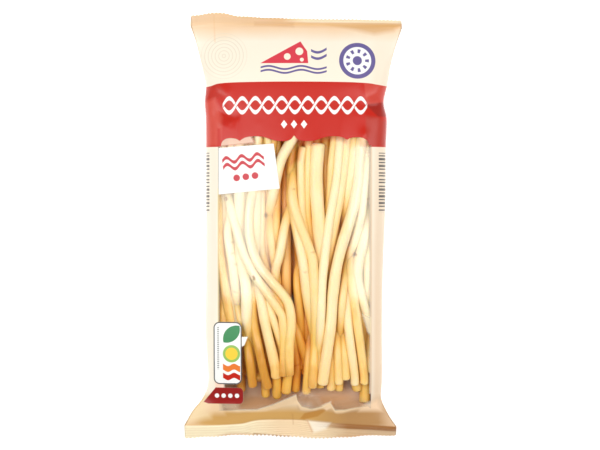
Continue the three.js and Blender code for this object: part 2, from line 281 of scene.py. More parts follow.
class FilmTube:
    """Where the front and back film lie over any point of the plan, before they are creased."""

    CROWN_POWER = 2.3
    UNDER_POWER = 5
    SHIFT_FADE = 16.0
    SEAM_THICKNESS = 0.6
    RELIEF_DEPTH = (1.0, 8.0)
    RELIEF_SIDE = 2.5
    SEAM_DEPTH = (1.0, 6.0)

    def __init__(self, stations: Sequence[Station]) -> None:
        """Keeps the stations as columns of numbers."""
        self.ys = np.array([s.y for s in stations])
        self.first = float(self.ys[0])
        self.last = float(self.ys[-1])
        names = ("left", "right", "crown", "side", "under", "round")
        self.columns = {n: np.array([getattr(s, n) for s in stations]) for n in names}

    def value(self, name: str, y: np.ndarray) -> np.ndarray:
        """A smooth curve through one column.

        Args:
            name: The column's name.
            y: Places along the pack.

        Returns:
            The value at each place.
        """
        column = self.columns[name]
        before = np.maximum(np.arange(len(column)) - 1, 0)
        after = np.minimum(np.arange(len(column)) + 1, len(column) - 1)
        slopes = (column[after] - column[before]) / (self.ys[after] - self.ys[before])
        y = np.asarray(y, float)
        i = np.clip(np.searchsorted(self.ys, y) - 1, 0, len(column) - 2)
        span = self.ys[i + 1] - self.ys[i]
        t = np.clip((y - self.ys[i]) / span, 0, 1)
        t2, t3 = t**2, t**3
        return (
            column[i] * (2 * t3 - 3 * t2 + 1) + slopes[i] * span * (t3 - 2 * t2 + t)
            + column[i + 1] * (3 * t2 - 2 * t3) + slopes[i + 1] * span * (t3 - t2)
        )

    def middle(self, y: np.ndarray) -> np.ndarray:
        """Middle between the side folds."""
        return (self.value("left", y) + self.value("right", y)) / 2

    def half(self, y: np.ndarray) -> np.ndarray:
        """Half the width between the side folds."""
        return (self.value("right", y) - self.value("left", y)) / 2

    def share_at(self, x: np.ndarray, y: np.ndarray) -> np.ndarray:
        """Place across as a share of the half width."""
        return np.clip((x - self.middle(y)) / self.half(y), -1, 1)

    def swell(self, share: np.ndarray, y: np.ndarray, power: float) -> np.ndarray:
        """How full the section is, from 0 at the side folds to 1 in the middle."""
        return (1 - np.abs(share) ** power) ** (1 / self.value("round", y))

    def front(self, x: np.ndarray, y: np.ndarray) -> np.ndarray:
        """Height of the smooth front film over the surface that the pack lies on."""
        rise = self.swell(self.share_at(x, y), y, self.CROWN_POWER)
        side = self.value("side", y)
        return side + (self.value("crown", y) - side) * rise + self.SEAM_THICKNESS

    def back(self, x: np.ndarray, y: np.ndarray) -> np.ndarray:
        """Height of the back film, pressed flat by the surface that it lies on.

        Args:
            x: Places across.
            y: Places along.

        Returns:
            The height over that surface.
        """
        rise = self.swell(self.share_at(x, y), y, self.UNDER_POWER)
        side = self.value("side", y)
        film = side - (side - self.value("under", y)) * rise
        return np.maximum(film, 0) + self.SEAM_THICKNESS

    def relief_share(self, x: np.ndarray, y: np.ndarray) -> np.ndarray:
        """How much relief the front film takes: none at the seals and the side folds."""
        rise = self.swell(self.share_at(x, y), y, self.CROWN_POWER)
        depth = self.value("crown", y) - self.value("side", y)
        return smoothstep(depth, *self.RELIEF_DEPTH) * np.minimum(1, self.RELIEF_SIDE * rise**2)

    def seam_share(self, y: np.ndarray) -> np.ndarray:
        """How proud the lengthwise seam stands on the back."""
        depth = self.value("crown", y) - self.value("under", y)
        return smoothstep(depth, *self.SEAM_DEPTH)

    def stray(self, y: np.ndarray, share: np.ndarray) -> np.ndarray:
        """How far the film strays along the pack where it follows the root of a fin.

        Args:
            y: Places along.
            share: Places across, from -1 to 1.

        Returns:
            The distance strayed at each place.
        """
        near_bottom = 1 - smoothstep(y, self.first, self.first + self.SHIFT_FADE)
        near_top = smoothstep(y, self.last - self.SHIFT_FADE, self.last)
        return (near_bottom * across_value(BOTTOM_FIN.shift, share)
                + near_top * across_value(TOP_FIN.shift, share))


# ---- Cheese strings ----


@dataclass(frozen=True)
class Strand:
    """One cheese string as it shows in the window.

    diameter is in millimetres. level says what it lies over: 8 touches the film, and 0 is seen
    only through the gaps. path runs in plan from the header end to the other. blunt is True where
    the header end of the string itself shows. tone is 0 for the palest and 1 for the most smoked.
    """

    diameter: float
    level: float
    path: tuple[Point, ...]
    blunt: bool = False
    tone: float = 0.3


STRANDS = (
    Strand(5.3, 8, ((-23, 16), (-24.5, 5.5), (-24.5, -4.5), (-23, -13), (-20.5, -20), (-16.5, -26.5),
                    (-6, -39), (-2.5, -44.5), (-1, -52), (-1, -59), (-2, -68.5), (-2, -85.5))),
    Strand(6.2, 8, ((39, 48.5), (37.5, 41), (36.5, 24), (35, 15.5), (33.5, 8), (25.5, -19.5),
                    (22.5, -39), (21, -58.5), (16.5, -90.5)), tone=0.1),
    Strand(5.0, 7, ((-34, 5.5), (-28.5, -14.5), (-25, -22.5), (-20.5, -30.5), (-7.5, -49),
                    (-5.5, -55.5), (-5, -64.5), (-5.5, -86))),
    Strand(5.9, 6, ((-20.3, -27), (-16, -53.5), (-10.3, -79), (-9.5, -87)), tone=0.15),
    Strand(5.4, 5, ((32.5, -21.5), (33, -32.5), (40, -83), (40, -90.5)), tone=0.75),
    Strand(5.1, 5, ((26.5, 49), (24.5, 25), (20.5, 1.5), (17.5, -21.5), (16.5, -32.5), (15.5, -57),
                    (14.8, -70))),
    Strand(5.4, 5, ((0.2, 24), (-0.2, 17.5), (1.5, 7), (10, -16.5), (11.5, -26), (12.5, -60),
                    (11, -92.5)), tone=0.55),
    Strand(5.7, 5, ((-1, 20.5), (-0.5, 11), (5.5, -20), (8, -40.5), (12, -62.5))),
    Strand(6.2, 5, ((-30, 50), (-30, 16), (-29.5, 5.5), (-30, -14.5), (-26.5, -34.5), (-26, -53),
                    (-25, -62))),
    Strand(5.1, 4, ((30.5, -24.5), (31, -55.5), (34.5, -83), (35, -91)), tone=0.2),
    Strand(5.1, 4, ((-34.5, 50), (-34.5, 16), (-35, 5.5), (-36.5, -6), (-33.5, -26), (-31, -49.5),
                    (-31, -62.5)), tone=0.1),
    Strand(5.7, 4, ((42.5, 11), (39.5, -11.5), (37, -21.5), (36.5, -30.5), (38, -38.5), (42.5, -54),
                    (44, -62)), tone=0.0),
    Strand(7.9, 4, ((14, 45.5), (13, 22.5), (15.5, -11.5), (15.5, -34.5)), blunt=True),
    Strand(5.4, 4, ((30, 49), (28, 25), (21.5, -10), (18, -32.5), (15.5, -68.5))),
    Strand(5.1, 4, ((-1.5, 9.5), (-4.5, -0.5), (-7.5, -17.5), (-9.5, -24.5), (-12, -43))),
    Strand(5.1, 4, ((-19.5, 50), (-20, 18.5), (-20.5, -4.5), (-20, -24.5)), tone=0.1),
    Strand(4.8, 3, ((-17.5, 16.5), (-18, 2.5), (-17.5, -11.5), (-16, -21.5), (-13, -30.5))),
    Strand(4.5, 3, ((-14, 50), (-13, 19.5), (-12.5, -6), (-9.5, -27))),
    Strand(4.0, 3, ((23, 48.5), (21.5, 33.5), (20.5, 14), (18.5, 1.5)), tone=0.7),
    Strand(4.5, 3, ((5.5, 43.5), (4.5, 33.5), (5, 11), (6, 1.5), (8.5, -10)), blunt=True),
    Strand(5.1, 1.5, ((-0.5, -53), (6.5, -74.5), (7.5, -80)), tone=1.0),
    Strand(4.8, 5, ((-16.5, -36), (-7, -66.5), (-5.5, -75), (-5, -82.5)), tone=0.1),
    Strand(4.5, 3, ((26.5, -45.5), (28, -57), (30, -88))),
    Strand(4.8, 3, ((25, -54), (25, -68.5), (26, -90.5))),
    Strand(4.8, 4.5, ((41.5, 48), (41, 33.5), (39, 8), (37, -2), (34.5, -10.5), (31.5, -18),
                    (28.5, -37), (27, -55.5))),
    Strand(5.1, 3, ((-39.5, 50), (-39, 16.5), (-39.5, -9), (-37.5, -31.5), (-31.5, -68.5))),
    Strand(6.2, 6, ((1, 50), (-7, 35.5), (-11, 18.5)), tone=0.1),
    Strand(4.5, 5.5, ((-22, -24), (-18.5, -29.5), (-8.5, -42.5), (-4.8, -50)), tone=0.5),
    Strand(5.5, 3.5, ((-0.5, 35), (-1, 29), (-0.5, 19.5), (1.5, 5.5)), tone=0.7),
    Strand(5.4, 0.9, ((18.6, 50), (18.6, 32), (19, 12), (17, -8)), tone=1.0),
    Strand(5.4, 1.5, ((13, 50), (13.4, 32), (13, 10)), tone=1.0),
    Strand(5.0, 3, ((-10.5, 50), (-11.5, 40), (-12, 24)), tone=1.0),
    Strand(5.4, 4, ((-27.5, 50), (-27, 10), (-26, -20), (-22, -45)), tone=0.1),
    Strand(5.1, 3.2, ((-33.5, 14), (-33.5, -6), (-33, -22), (-30.5, -42)), tone=0.0),
    Strand(5.4, 3, ((36, 50), (35.5, 10), (35, -20), (38, -50), (41, -70))),
    Strand(5.1, 1.4, ((4, -21.5), (2.5, -31.5), (4.5, -60)), tone=1.0),
    Strand(5.1, 0.9, ((3, -74), (1.5, -95)), tone=0.9),
    Strand(5.1, 4, ((34, 48.5), (33, 36.5), (30.5, 17)), tone=0.6),
    Strand(5.3, 4.5, ((-22, -34), (-22.7, -48.5), (-21.3, -60), (-19.7, -68), (-16.7, -82.5),
                      (-14.2, -93)), tone=0.9),
    Strand(5.1, 2, ((9, -71), (7.5, -96))),
    Strand(5.1, 2, ((23, -60), (21.5, -94))),
    Strand(4.5, 2, ((-9, 22.5), (-9.5, -4.5), (-11, -26))),
    Strand(5.1, 0, ((-5, 42), (-5, 14), (-6, 1.5), (-8, -9), (-9, -21.5))),
    Strand(4.5, 2.4, ((9, 48), (8, 11), (9.5, -2), (12, -13.5), (12.5, -26), (12, -43))),
    Strand(4.5, 1, ((7, -43), (8, -65.5), (7, -85.5))),
    Strand(5.4, 4, ((-44.5, 50), (-44.6, 18), (-45, -30), (-44.5, -60), (-42, -88))),
    Strand(5.4, 4, ((47.5, 45), (47, 10), (46.5, -20), (47, -70))),
    Strand(4.5, 0, ((29, 22.5), (28.5, 11), (25, -11.5)), tone=1.0),
    Strand(5.7, 3, ((-40, -23), (-39, -37), (-39, -51.5), (-38, -68.5), (-34.5, -85.5)), tone=0.9),
    Strand(5.1, 4.5, ((-41.8, 16.5), (-41.2, -14.5), (-34.5, -60)), tone=1.0),
    Strand(5.4, 4.8, ((-30.5, -50), (-28.5, -57), (-26, -66), (-24.4, -77), (-22.7, -92)), tone=1.0),
    Strand(4.5, 1, ((-21.5, -36), (-20, -60), (-17.5, -71), (-16, -81.5)), tone=1.0),
    Strand(5.7, 1.8, ((-9.5, -71), (-9, -98.5)), tone=0.5),
    Strand(5.7, 2.2, ((-3, -68.5), (-2.5, -79.5), (-4, -96))),
    Strand(6.2, 2, ((41.5, -60), (42, -74), (41.5, -87), (40.6, -102)), tone=0.7),
    Strand(5.1, 4, ((44, 50), (43.5, 36.5), (42, -31.5), (43, -54), (43.3, -84))),
    Strand(5.7, 0, ((-1.5, 11), (-3, -6), (-3.5, -21.5), (-5, -37), (-4, -54), (-0.5, -72.5)),
           tone=0.9),
    Strand(5.1, 0, ((2.5, 19.5), (1, -0.5), (0.5, -17.5), (-1, -34.5), (-3, -43)), tone=0.9),
    Strand(5.1, 1.2, ((-17.5, -77), (-16, -87), (-15.5, -98))),
    Strand(5.1, 0.8, ((-34, -65.5), (-31, -75.5), (-29.5, -85.5), (-29.5, -95))),
    Strand(5.7, 1.5, ((33.5, -71), (36.5, -94.5))),
    Strand(5.1, 1.5, ((26.5, -71), (26, -94.5))),
    Strand(5.1, 1.2, ((14, -68.5), (15.5, -93))),
)


@dataclass
class StringBlank:
    """A straight cheese string of unit length and radius, with softly rounded cut ends.

    rim is the height and radius of each ring of a rounded end.
    """

    sides: int = 20
    steps: int = 72
    rim: tuple[Point, ...] = ((0.0, 0.5), (0.0012, 0.78), (0.004, 0.93), (0.009, 1.0))

    def rings(self) -> list[Point]:
        """The rings of the blank from one end to the other.

        Returns:
            The height and radius of each ring.
        """
        margin = self.rim[-1][0]
        even = np.linspace(margin, 1 - margin, self.steps + 1)[1:-1]
        return [*self.rim, *((h, 1.0) for h in even), *((1 - h, r) for h, r in self.rim[::-1])]

    def build(self) -> bpy.types.Object:
        """Extrudes one ring after another, and fills both ends.

        Returns:
            The blank, which stands on the origin along Z.
        """
        deselect_all()
        rings = self.rings()
        bpy.ops.mesh.primitive_circle_add(vertices=self.sides, radius=rings[0][1])
        blank = bpy.context.object
        blank.name = "string_blank"
        bpy.ops.object.mode_set(mode="EDIT")
        bpy.ops.mesh.select_all(action="SELECT")
        for (low, inner), (high, outer) in zip(rings, rings[1:]):
            bpy.ops.mesh.extrude_region_move(TRANSFORM_OT_translate={"value": (0, 0, high - low)})
            if outer != inner:
                scale = outer / inner
                bpy.ops.transform.resize(value=(scale, scale, 1))
        bpy.ops.mesh.select_all(action="SELECT")
        bpy.ops.mesh.fill_holes(sides=0)
        bpy.ops.mesh.select_all(action="SELECT")
        bpy.ops.mesh.normals_make_consistent(inside=False)
        bpy.ops.object.mode_set(mode="OBJECT")
        bpy.ops.object.shade_smooth()
        return blank


@dataclass
class StringPile:
    """The bundle of strings, laid from the film downwards and from the back film upwards.

    length and low_end are the ranges of a string's whole length and of its lower end, and a strand
    seen as far as reached ends there. clearance is kept under the film, which rises by film_rise
    over the strings. beside and stacked say how close two strings lie, as shares of their radii,
    and give how far a string can bend down. sink is how far below the film each level lies. Past
    the stretch that shows, a string loses a level every level_loss and sinks by sink_slope, by
    hidden_sink at most. The names with under are those of the unseen layer on the back film.
    """

    tube: FilmTube
    seed: int = 7
    samples: int = 73
    length: Point = (142.0, 148.0)
    low_end: Point = (-88.0, -80.0)
    reached: float = -80.0
    clearance: float = 0.25
    film_rise: float = 1.3
    beside: float = 0.68
    stacked: float = 0.85
    give: float = 9.0
    sink: tuple[float, ...] = (13.0, 6.0, 3.0, 1.6, 0.8, 0.5, 0.35, 0.2, 0.0)
    level_loss: float = 4.0
    sink_slope: float = 1 / 3
    hidden_sink: float = 4.5
    tone_spread: float = 0.2
    under_count: int = 12
    under_end: Point = (-86.0, -78.0)
    under_span: Point = (-40.0, 42.0)
    under_diameter: Point = (5.8, 6.8)
    under_lean: float = 2.5
    under_stray: float = 0.8
    under_level: float = -1.0
    under_tone: float = 0.8
    plans: list[np.ndarray] = field(default_factory=list)
    levels: list[np.ndarray] = field(default_factory=list)
    sinks: list[np.ndarray] = field(default_factory=list)
    radii: list[float] = field(default_factory=list)
    tones: list[float] = field(default_factory=list)
    heights: list[np.ndarray] = field(default_factory=list)

    STEP = 4.0
    LEAST_STEP = 0.5
    BEND_FADE = 0.85
    SIDE_LIMIT = (-43.0, 44.0)
    WORTH_ADDING = 2.0
    FLOOR_GAP = 0.1
    EARLIER = 1e-3

    def run_on(self, path: list[Point], end: float, distance: float) -> list[Point]:
        """Carries a path on past its last point, while it straightens along the pack.

        Args:
            path: Plan points.
            end: The place to stop at.
            distance: The longest way to go.

        Returns:
            The longer path.
        """
        (ax, ay), (bx, by) = path[-2:]
        way = math.hypot(bx - ax, by - ay)
        lean = (bx - ax) / way
        towards = math.copysign(1, end - by)
        out = list(path)
        x, y = bx, by
        left = min(distance, abs(end - by) * 1.02)
        while left > self.LEAST_STEP:
            step = min(self.STEP, left)
            lean *= self.BEND_FADE
            x = min(max(x + lean * step, self.SIDE_LIMIT[0]), self.SIDE_LIMIT[1])
            y += towards * step * math.sqrt(1 - lean * lean)
            out.append((x, y))
            left -= step
        return out

    def whole(self, strand: Strand, rng: np.random.Generator) -> None:
        """Adds the whole string of which a strand shows a part.

        Args:
            strand: What shows in the window.
            rng: The source of the unseen lengths.
        """
        length = rng.uniform(*self.length)
        low = rng.uniform(*self.low_end)
        path = list(strand.path)
        shown = np.asarray(path)
        if path[-1][1] > self.reached:
            path = self.run_on(path, low, abs(low) + abs(path[-1][1]))
        missing = length - length_of(np.asarray(path))
        if missing > self.WORTH_ADDING and not strand.blunt:
            path = self.run_on(path[::-1], path[0][1] + missing, missing)[::-1]
        line = evenly(curve_through(path, 1.0), self.samples)
        beyond = np.maximum(line[:, 1] - shown[0, 1], 0) + np.maximum(shown[-1, 1] - line[:, 1], 0)
        drop = beyond / self.level_loss
        self.plans.append(line)
        self.levels.append(np.maximum(strand.level - drop, 0))
        sink = float(np.interp(strand.level, np.arange(len(self.sink)), self.sink))
        self.sinks.append(sink + np.minimum(drop * self.sink_slope, self.hidden_sink))
        self.tones.append(strand.tone + rng.uniform(-self.tone_spread, self.tone_spread))
        self.radii.append(strand.diameter / 2)

    def gather(self) -> None:
        """Works out every string in plan: those that show, and a layer on the back film."""
        rng = np.random.default_rng(self.seed)
        for strand in sorted(STRANDS, key=lambda s: -s.level):
            self.whole(strand, rng)
        for x in np.linspace(*self.under_span, self.under_count):
            lean = rng.uniform(-self.under_lean, self.under_lean)
            low = rng.uniform(*self.under_end)
            top = low + rng.uniform(*self.length)
            x += rng.uniform(-self.under_stray, self.under_stray)
            path = [(x, top), (x + lean, (low + top) / 2), (x, low)]
            self.plans.append(evenly(curve_through(path, 1.0), self.samples))
            self.levels.append(np.full(self.samples, self.under_level))
            self.sinks.append(np.zeros(self.samples))
            self.tones.append(self.under_tone)
            self.radii.append(rng.uniform(*self.under_diameter) / 2)

    def ceiling(self, line: np.ndarray, sink: np.ndarray, radius: float) -> np.ndarray:
        """The highest that a string may lie under the film alone.

        Args:
            line: Plan points.
            sink: How far the string keeps below the film at each point.
            radius: The string's radius.

        Returns:
            Heights of the string's middle.
        """
        x, y = line[:, 0], line[:, 1]
        span = 0.5
        slope = (self.tube.front(x + span, y) - self.tube.front(x - span, y)) / (2 * span)
        room = radius * np.sqrt(1 + slope**2) + self.clearance
        rise = self.film_rise * self.tube.relief_share(x, y)
        return self.tube.front(x, y) + rise - room - sink

    def settle(self, sweeps: int = 6, passes: int = 10) -> None:
        """Lays every string under those of a higher level that cross over it.

        Args:
            sweeps: How often the whole bundle is gone through.
            passes: How often a string is smoothed in each sweep.
        """
        count = len(self.plans)
        tops = [self.ceiling(p, v, r) for p, v, r in zip(self.plans, self.sinks, self.radii)]
        floors = [self.tube.back(p[:, 0], p[:, 1]) + r + self.FLOOR_GAP
                  for p, r in zip(self.plans, self.radii)]
        lowest = [level[0] < 0 for level in self.levels]
        self.heights = [(f if low else t).copy() for f, t, low in zip(floors, tops, lowest)]
        all_plan = np.concatenate(self.plans)
        all_level = np.concatenate(self.levels)
        owner = np.repeat(np.arange(count), self.samples)
        all_radius = np.repeat(self.radii, self.samples)
        for sweep in range(sweeps):
            for i in range(count):
                if lowest[i]:
                    continue
                all_height = np.concatenate(self.heights)
                placed = owner < i if sweep == 0 else owner != i
                gap = self.plans[i][:, None, :] - all_plan[None, placed, :]
                apart = (gap**2).sum(-1)
                both = (self.radii[i] + all_radius[placed])[None, :]
                reach = both * self.beside
                rank = all_level[placed] + self.EARLIER * (owner[placed] < i)
                above = rank[None, :] > self.levels[i][:, None]
                close = (apart < reach**2) & above
                drop = both * self.stacked * np.sqrt(np.maximum(1 - apart / reach**2, 0))
                limit = np.where(close, all_height[placed][None, :] - drop, np.inf)
                dip = np.maximum(tops[i] - limit.min(1, initial=np.inf), 0)
                ceiling = tops[i] - self.give * (1 - np.exp(-dip / self.give))
                height = np.minimum(self.heights[i] if sweep else ceiling, ceiling)
                for _ in range(passes):
                    inner = (height[:-2] + 2 * height[1:-1] + height[2:]) / 4
                    height = np.concatenate([height[:1], inner, height[-1:]])
                    height = np.minimum(height, ceiling)
                self.heights[i] = np.maximum(height, floors[i])

    def spine(self, i: int) -> np.ndarray:
        """The middle line of a string, in millimetres."""
        return np.column_stack([self.plans[i], self.heights[i]])


@dataclass
class StringBatch:
    """Some of the strings, laid from one blank and joined as one piece.

    WOBBLES are the lobes of an uneven section with their depths, and drift along the string over
    DRIFT_LENGTH. SWELLING is how far it swells and thins, in waves of SWELL_LENGTH. SHUFFLE is how
    far apart the maps of two strings may lie.
    """

    name: str
    pile: StringPile
    chosen: Sequence[int]
    shift: float
    seed: int

    WOBBLES = ((2, 0.030), (3, 0.018), (5, 0.010))
    DRIFT_LENGTH = (22, 60)
    SWELLING = 0.045
    SWELL_LENGTH = (18.0, 46.0)
    SWELLS = 3
    PHASE = (0, 6.3)
    SHUFFLE = (0, 300)

    def bend(self, blank: np.ndarray, i: int, rng: np.random.Generator) -> np.ndarray:
        """Lays the blank along a string's spine.

        Args:
            blank: The blank's vertices.
            i: Number of the string in the pile.
            rng: The source of this string's unevenness.

        Returns:
            The laid vertices, in millimetres.
        """
        spine = self.pile.spine(i)
        ahead = np.gradient(spine, axis=0)
        ahead /= np.linalg.norm(ahead, axis=1, keepdims=True)
        aside = np.cross(ahead, (0, 0, 1))
        aside /= np.linalg.norm(aside, axis=1, keepdims=True)
        above = np.cross(aside, ahead)
        along = np.clip(blank[:, 2], 0, 1)
        place = along * (len(spine) - 1)
        stations = np.arange(len(spine))

        def at(values: np.ndarray) -> np.ndarray:
            """Values at the place of each vertex."""
            return np.column_stack([np.interp(place, stations, values[:, k]) for k in range(3)])

        angle = np.arctan2(blank[:, 1], blank[:, 0])
        distance = along * length_of(spine)
        radius = np.hypot(blank[:, 0], blank[:, 1])
        swell = np.zeros_like(angle)
        for lobes, depth in self.WOBBLES:
            drift = distance / rng.uniform(*self.DRIFT_LENGTH) + rng.uniform(*self.PHASE)
            swell += depth * np.cos(lobes * angle + drift)
        for _ in range(self.SWELLS):
            wave = rng.uniform(*self.SWELL_LENGTH)
            turn = distance / wave * 2 * math.pi + rng.uniform(*self.PHASE)
            swell += self.SWELLING / self.SWELLS * np.sin(turn)
        radius = radius * self.pile.radii[i] * (1 + swell)
        offset = (np.cos(angle) * radius)[:, None] * at(aside)
        offset += (np.sin(angle) * radius)[:, None] * at(above)
        return at(spine) + offset

    def build(self, blank: bpy.types.Object) -> bpy.types.Object:
        """Copies the blank once for each string, lays the copies and joins them.

        Args:
            blank: The straight string.

        Returns:
            The joined piece.
        """
        rng = np.random.default_rng(self.seed)
        straight = corners_of(blank.data)
        deselect_all()
        laid = []
        for i in self.chosen:
            string = bpy.data.objects.new(self.name, blank.data.copy())
            bpy.context.scene.collection.objects.link(string)
            placed = self.bend(straight, i, rng)
            placed[:, 1] += self.shift
            move_corners(string.data, placed * MM)
            self.mark(string.data, straight, i)
            self.lay_map(string.data, straight, i, rng.uniform(*self.SHUFFLE))
            string.select_set(True)
            laid.append(string)
        bpy.context.view_layer.objects.active = laid[0]
        bpy.ops.object.join()
        piece = bpy.context.object
        piece.name = piece.data.name = self.name
        return piece

    def mark(self, mesh: bpy.types.Mesh, straight: np.ndarray, i: int) -> None:
        """Writes how smoked a string is, and how deep each vertex lies below the film.

        Args:
            mesh: The string's mesh.
            straight: The blank's vertices.
            i: Number of the string in the pile.
        """
        write_values(mesh, "smoke", np.full(len(straight), self.pile.tones[i]))
        spine = self.pile.spine(i)
        radius = self.pile.radii[i]
        lid = self.pile.tube.front(spine[:, 0], spine[:, 1])
        depth = np.maximum(lid - spine[:, 2] - radius, 0)
        place = np.clip(straight[:, 2], 0, 1) * (len(spine) - 1)
        below = np.interp(place, np.arange(len(spine)), depth) - straight[:, 1] * radius
        write_values(mesh, "depth", below)

    def lay_map(self, mesh: bpy.types.Mesh, straight: np.ndarray, i: int, shuffle: float) -> None:
        """Gives a string a map in millimetres, whose lines run along it.

        Args:
            mesh: The string's mesh.
            straight: The blank's vertices.
            i: Number of the string in the pile.
            shuffle: How far the map is moved, so that no two strings look alike.
        """
        corner = np.empty(len(mesh.loops), int)
        mesh.loops.foreach_get("vertex_index", corner)
        around = np.arctan2(straight[corner, 0], straight[corner, 1]) / (2 * math.pi)
        starts = np.empty(len(mesh.polygons), int)
        mesh.polygons.foreach_get("loop_start", starts)
        face = np.repeat(np.arange(len(starts)), np.diff(np.append(starts, len(corner))))
        highest = np.full(len(starts), -1.0)
        np.maximum.at(highest, face, around)
        wraps = (highest[face] > 0.25) & (around < -0.25)
        across = (around + wraps) * 2 * math.pi * self.pile.radii[i] + shuffle
        along = straight[corner, 2] * length_of(self.pile.spine(i)) + shuffle
        fibre = mesh.uv_layers.new(name="fibre")
        fibre.data.foreach_set("uv", np.column_stack([across, along]).astype(np.float32).ravel())


# ---- Film bag ----


@dataclass(frozen=True)
class Fold:
    """A fold in the front film: a ridge, or with a negative rise a pinched valley.

    It is full at the first point of its path and gone at the last. reach is how far it spreads to
    each side, and crisp is 0 for a round fold and 1 for a sharp one.
    """

    path: tuple[Point, ...]
    rise: float
    reach: float
    crisp: float = 0.0

    TENT_REACH = 1.6

    def relief(self, x: np.ndarray, y: np.ndarray) -> np.ndarray:
        """Height that the fold adds.

        Args:
            x: Places across.
            y: Places along.

        Returns:
            The height added at each place, which is negative in a valley.
        """
        nearest = np.full(np.shape(x), np.inf)
        along = np.zeros(np.shape(x))
        count = len(self.path) - 1
        for i, ((ax, ay), (bx, by)) in enumerate(zip(self.path, self.path[1:])):
            dx, dy = bx - ax, by - ay
            t = np.clip(((x - ax) * dx + (y - ay) * dy) / (dx * dx + dy * dy), 0, 1)
            distance = np.hypot(x - ax - t * dx, y - ay - t * dy)
            closer = distance < nearest
            nearest = np.where(closer, distance, nearest)
            along = np.where(closer, (i + t) / count, along)
        soft = np.exp(-((nearest / self.reach) ** 2))
        tent = np.maximum(1 - nearest / (self.TENT_REACH * self.reach), 0)
        profile = soft + (tent - soft) * self.crisp
        return self.rise * profile * (1 - along**2)


FOLDS = (
    Fold(((-52, 69), (-37, 72)), -2.6, 4, crisp=0.7),
    Fold(((-50, 80), (-36, 71)), 1.8, 4, crisp=0.7),
    Fold(((-42, 64), (-30, 59)), -1.6, 4, crisp=0.7),
    Fold(((55, 68), (40, 66)), -3.4, 4, crisp=0.7),
    Fold(((55, 77), (38, 70)), 1.6, 4.5, crisp=0.7),
    Fold(((64, 112), (44, 107)), -2.4, 5),
    Fold(((-61, 112), (-42, 103)), -1.8, 5),
    Fold(((-57, -108), (-45, -90)), -2.2, 4),
    Fold(((54, -110), (44, -92)), -2.2, 4),
    Fold(((-40, -106), (4, -96)), 1.9, 3, crisp=0.6),
    Fold(((-40, -110), (2, -106)), -1.5, 3.5),
    Fold(((3, -98), (20, -100)), -1.7, 3.5),
    Fold(((4, -105), (22, -102)), 1.7, 2.8, crisp=0.6),
    Fold(((22, -107), (43, -103)), 1.7, 3, crisp=0.6),
    Fold(((30, -112), (52, -109)), -1.6, 3.5),
)


@dataclass
class Drape:
    """Height that taut film gains over the strings under it, on an even grid in plan.

    gap is kept between the strings and the film. Where the film doesn't touch them, it may lie
    lower than the smooth form by loose at most. leak is how much of its height a bulge keeps from
    one cell to the next.
    """

    tube: FilmTube
    pile: StringPile
    cell: float = 0.75
    half_width: float = 66.0
    half_length: float = 122.0
    gap: float = 0.38
    loose: float = -6.0
    leak: float = 0.985
    passes: int = 160
    gained: np.ndarray = field(default_factory=lambda: np.zeros((1, 1)))
    contact: np.ndarray = field(default_factory=lambda: np.zeros((1, 1)))

    NOTHING = -1e3

    def build(self) -> None:
        """Raises the film over the strings, and stretches it between them."""
        xs = np.arange(-self.half_width, self.half_width + self.cell, self.cell)
        ys = np.arange(-self.half_length, self.half_length + self.cell, self.cell)
        grid_x, grid_y = np.meshgrid(xs, ys)
        tops = np.full(grid_x.shape, self.NOTHING)
        for i in range(len(self.pile.plans)):
            self.stamp(tops, xs, ys, i)
        lid = self.tube.front(grid_x, grid_y)
        self.contact = np.maximum(tops + self.gap - lid, self.loose)
        held = np.maximum(self.contact, 0)
        rise = held.copy()
        for _ in range(self.passes):
            mean = (np.roll(rise, 1, 0) + np.roll(rise, -1, 0) + np.roll(rise, 1, 1)
                    + np.roll(rise, -1, 1)) / 4
            rise = np.maximum(held, mean * self.leak)
        self.gained = rise

    def stamp(self, tops: np.ndarray, xs: np.ndarray, ys: np.ndarray, i: int) -> None:
        """Writes the top of one string into a height map.

        Args:
            tops: The height map, changed in place.
            xs: Places of its columns.
            ys: Places of its rows.
            i: Number of the string in the pile.
        """
        spine = self.pile.spine(i)
        radius = self.pile.radii[i]
        fine = np.linspace(0, len(spine) - 1, 4 * len(spine))
        at = [np.interp(fine, np.arange(len(spine)), spine[:, k]) for k in range(3)]
        reach = int(radius / self.cell) + 1
        columns = np.round((at[0] - xs[0]) / self.cell).astype(int)
        rows = np.round((at[1] - ys[0]) / self.cell).astype(int)
        for down in range(-reach, reach + 1):
            for over in range(-reach, reach + 1):
                column, row = columns + over, rows + down
                apart = (xs[column] - at[0]) ** 2 + (ys[row] - at[1]) ** 2
                inside = apart < radius**2
                top = at[2] + np.sqrt(np.maximum(radius**2 - apart, 0))
                np.maximum.at(tops, (row[inside], column[inside]), top[inside])

    def rise(self, x: np.ndarray, y: np.ndarray) -> np.ndarray:
        """Height gained at points of the plan."""
        return self.read(self.gained, x, y)

    def least(self, x: np.ndarray, y: np.ndarray) -> np.ndarray:
        """The least height, over the smooth film, that clears the strings."""
        return self.read(self.contact, x, y)

    def read(self, table: np.ndarray, x: np.ndarray, y: np.ndarray) -> np.ndarray:
        """Reads a height map.

        Args:
            table: The height map.
            x: Places across.
            y: Places along.

        Returns:
            The map's value at each place.
        """
        column = np.clip((x + self.half_width) / self.cell, 0, table.shape[1] - 1.001)
        row = np.clip((y + self.half_length) / self.cell, 0, table.shape[0] - 1.001)
        c, r = column.astype(int), row.astype(int)
        u, v = column - c, row - r
        return (
            table[r, c] * (1 - u) * (1 - v) + table[r, c + 1] * u * (1 - v)
            + table[r + 1, c] * (1 - u) * v + table[r + 1, c + 1] * u * v
        )


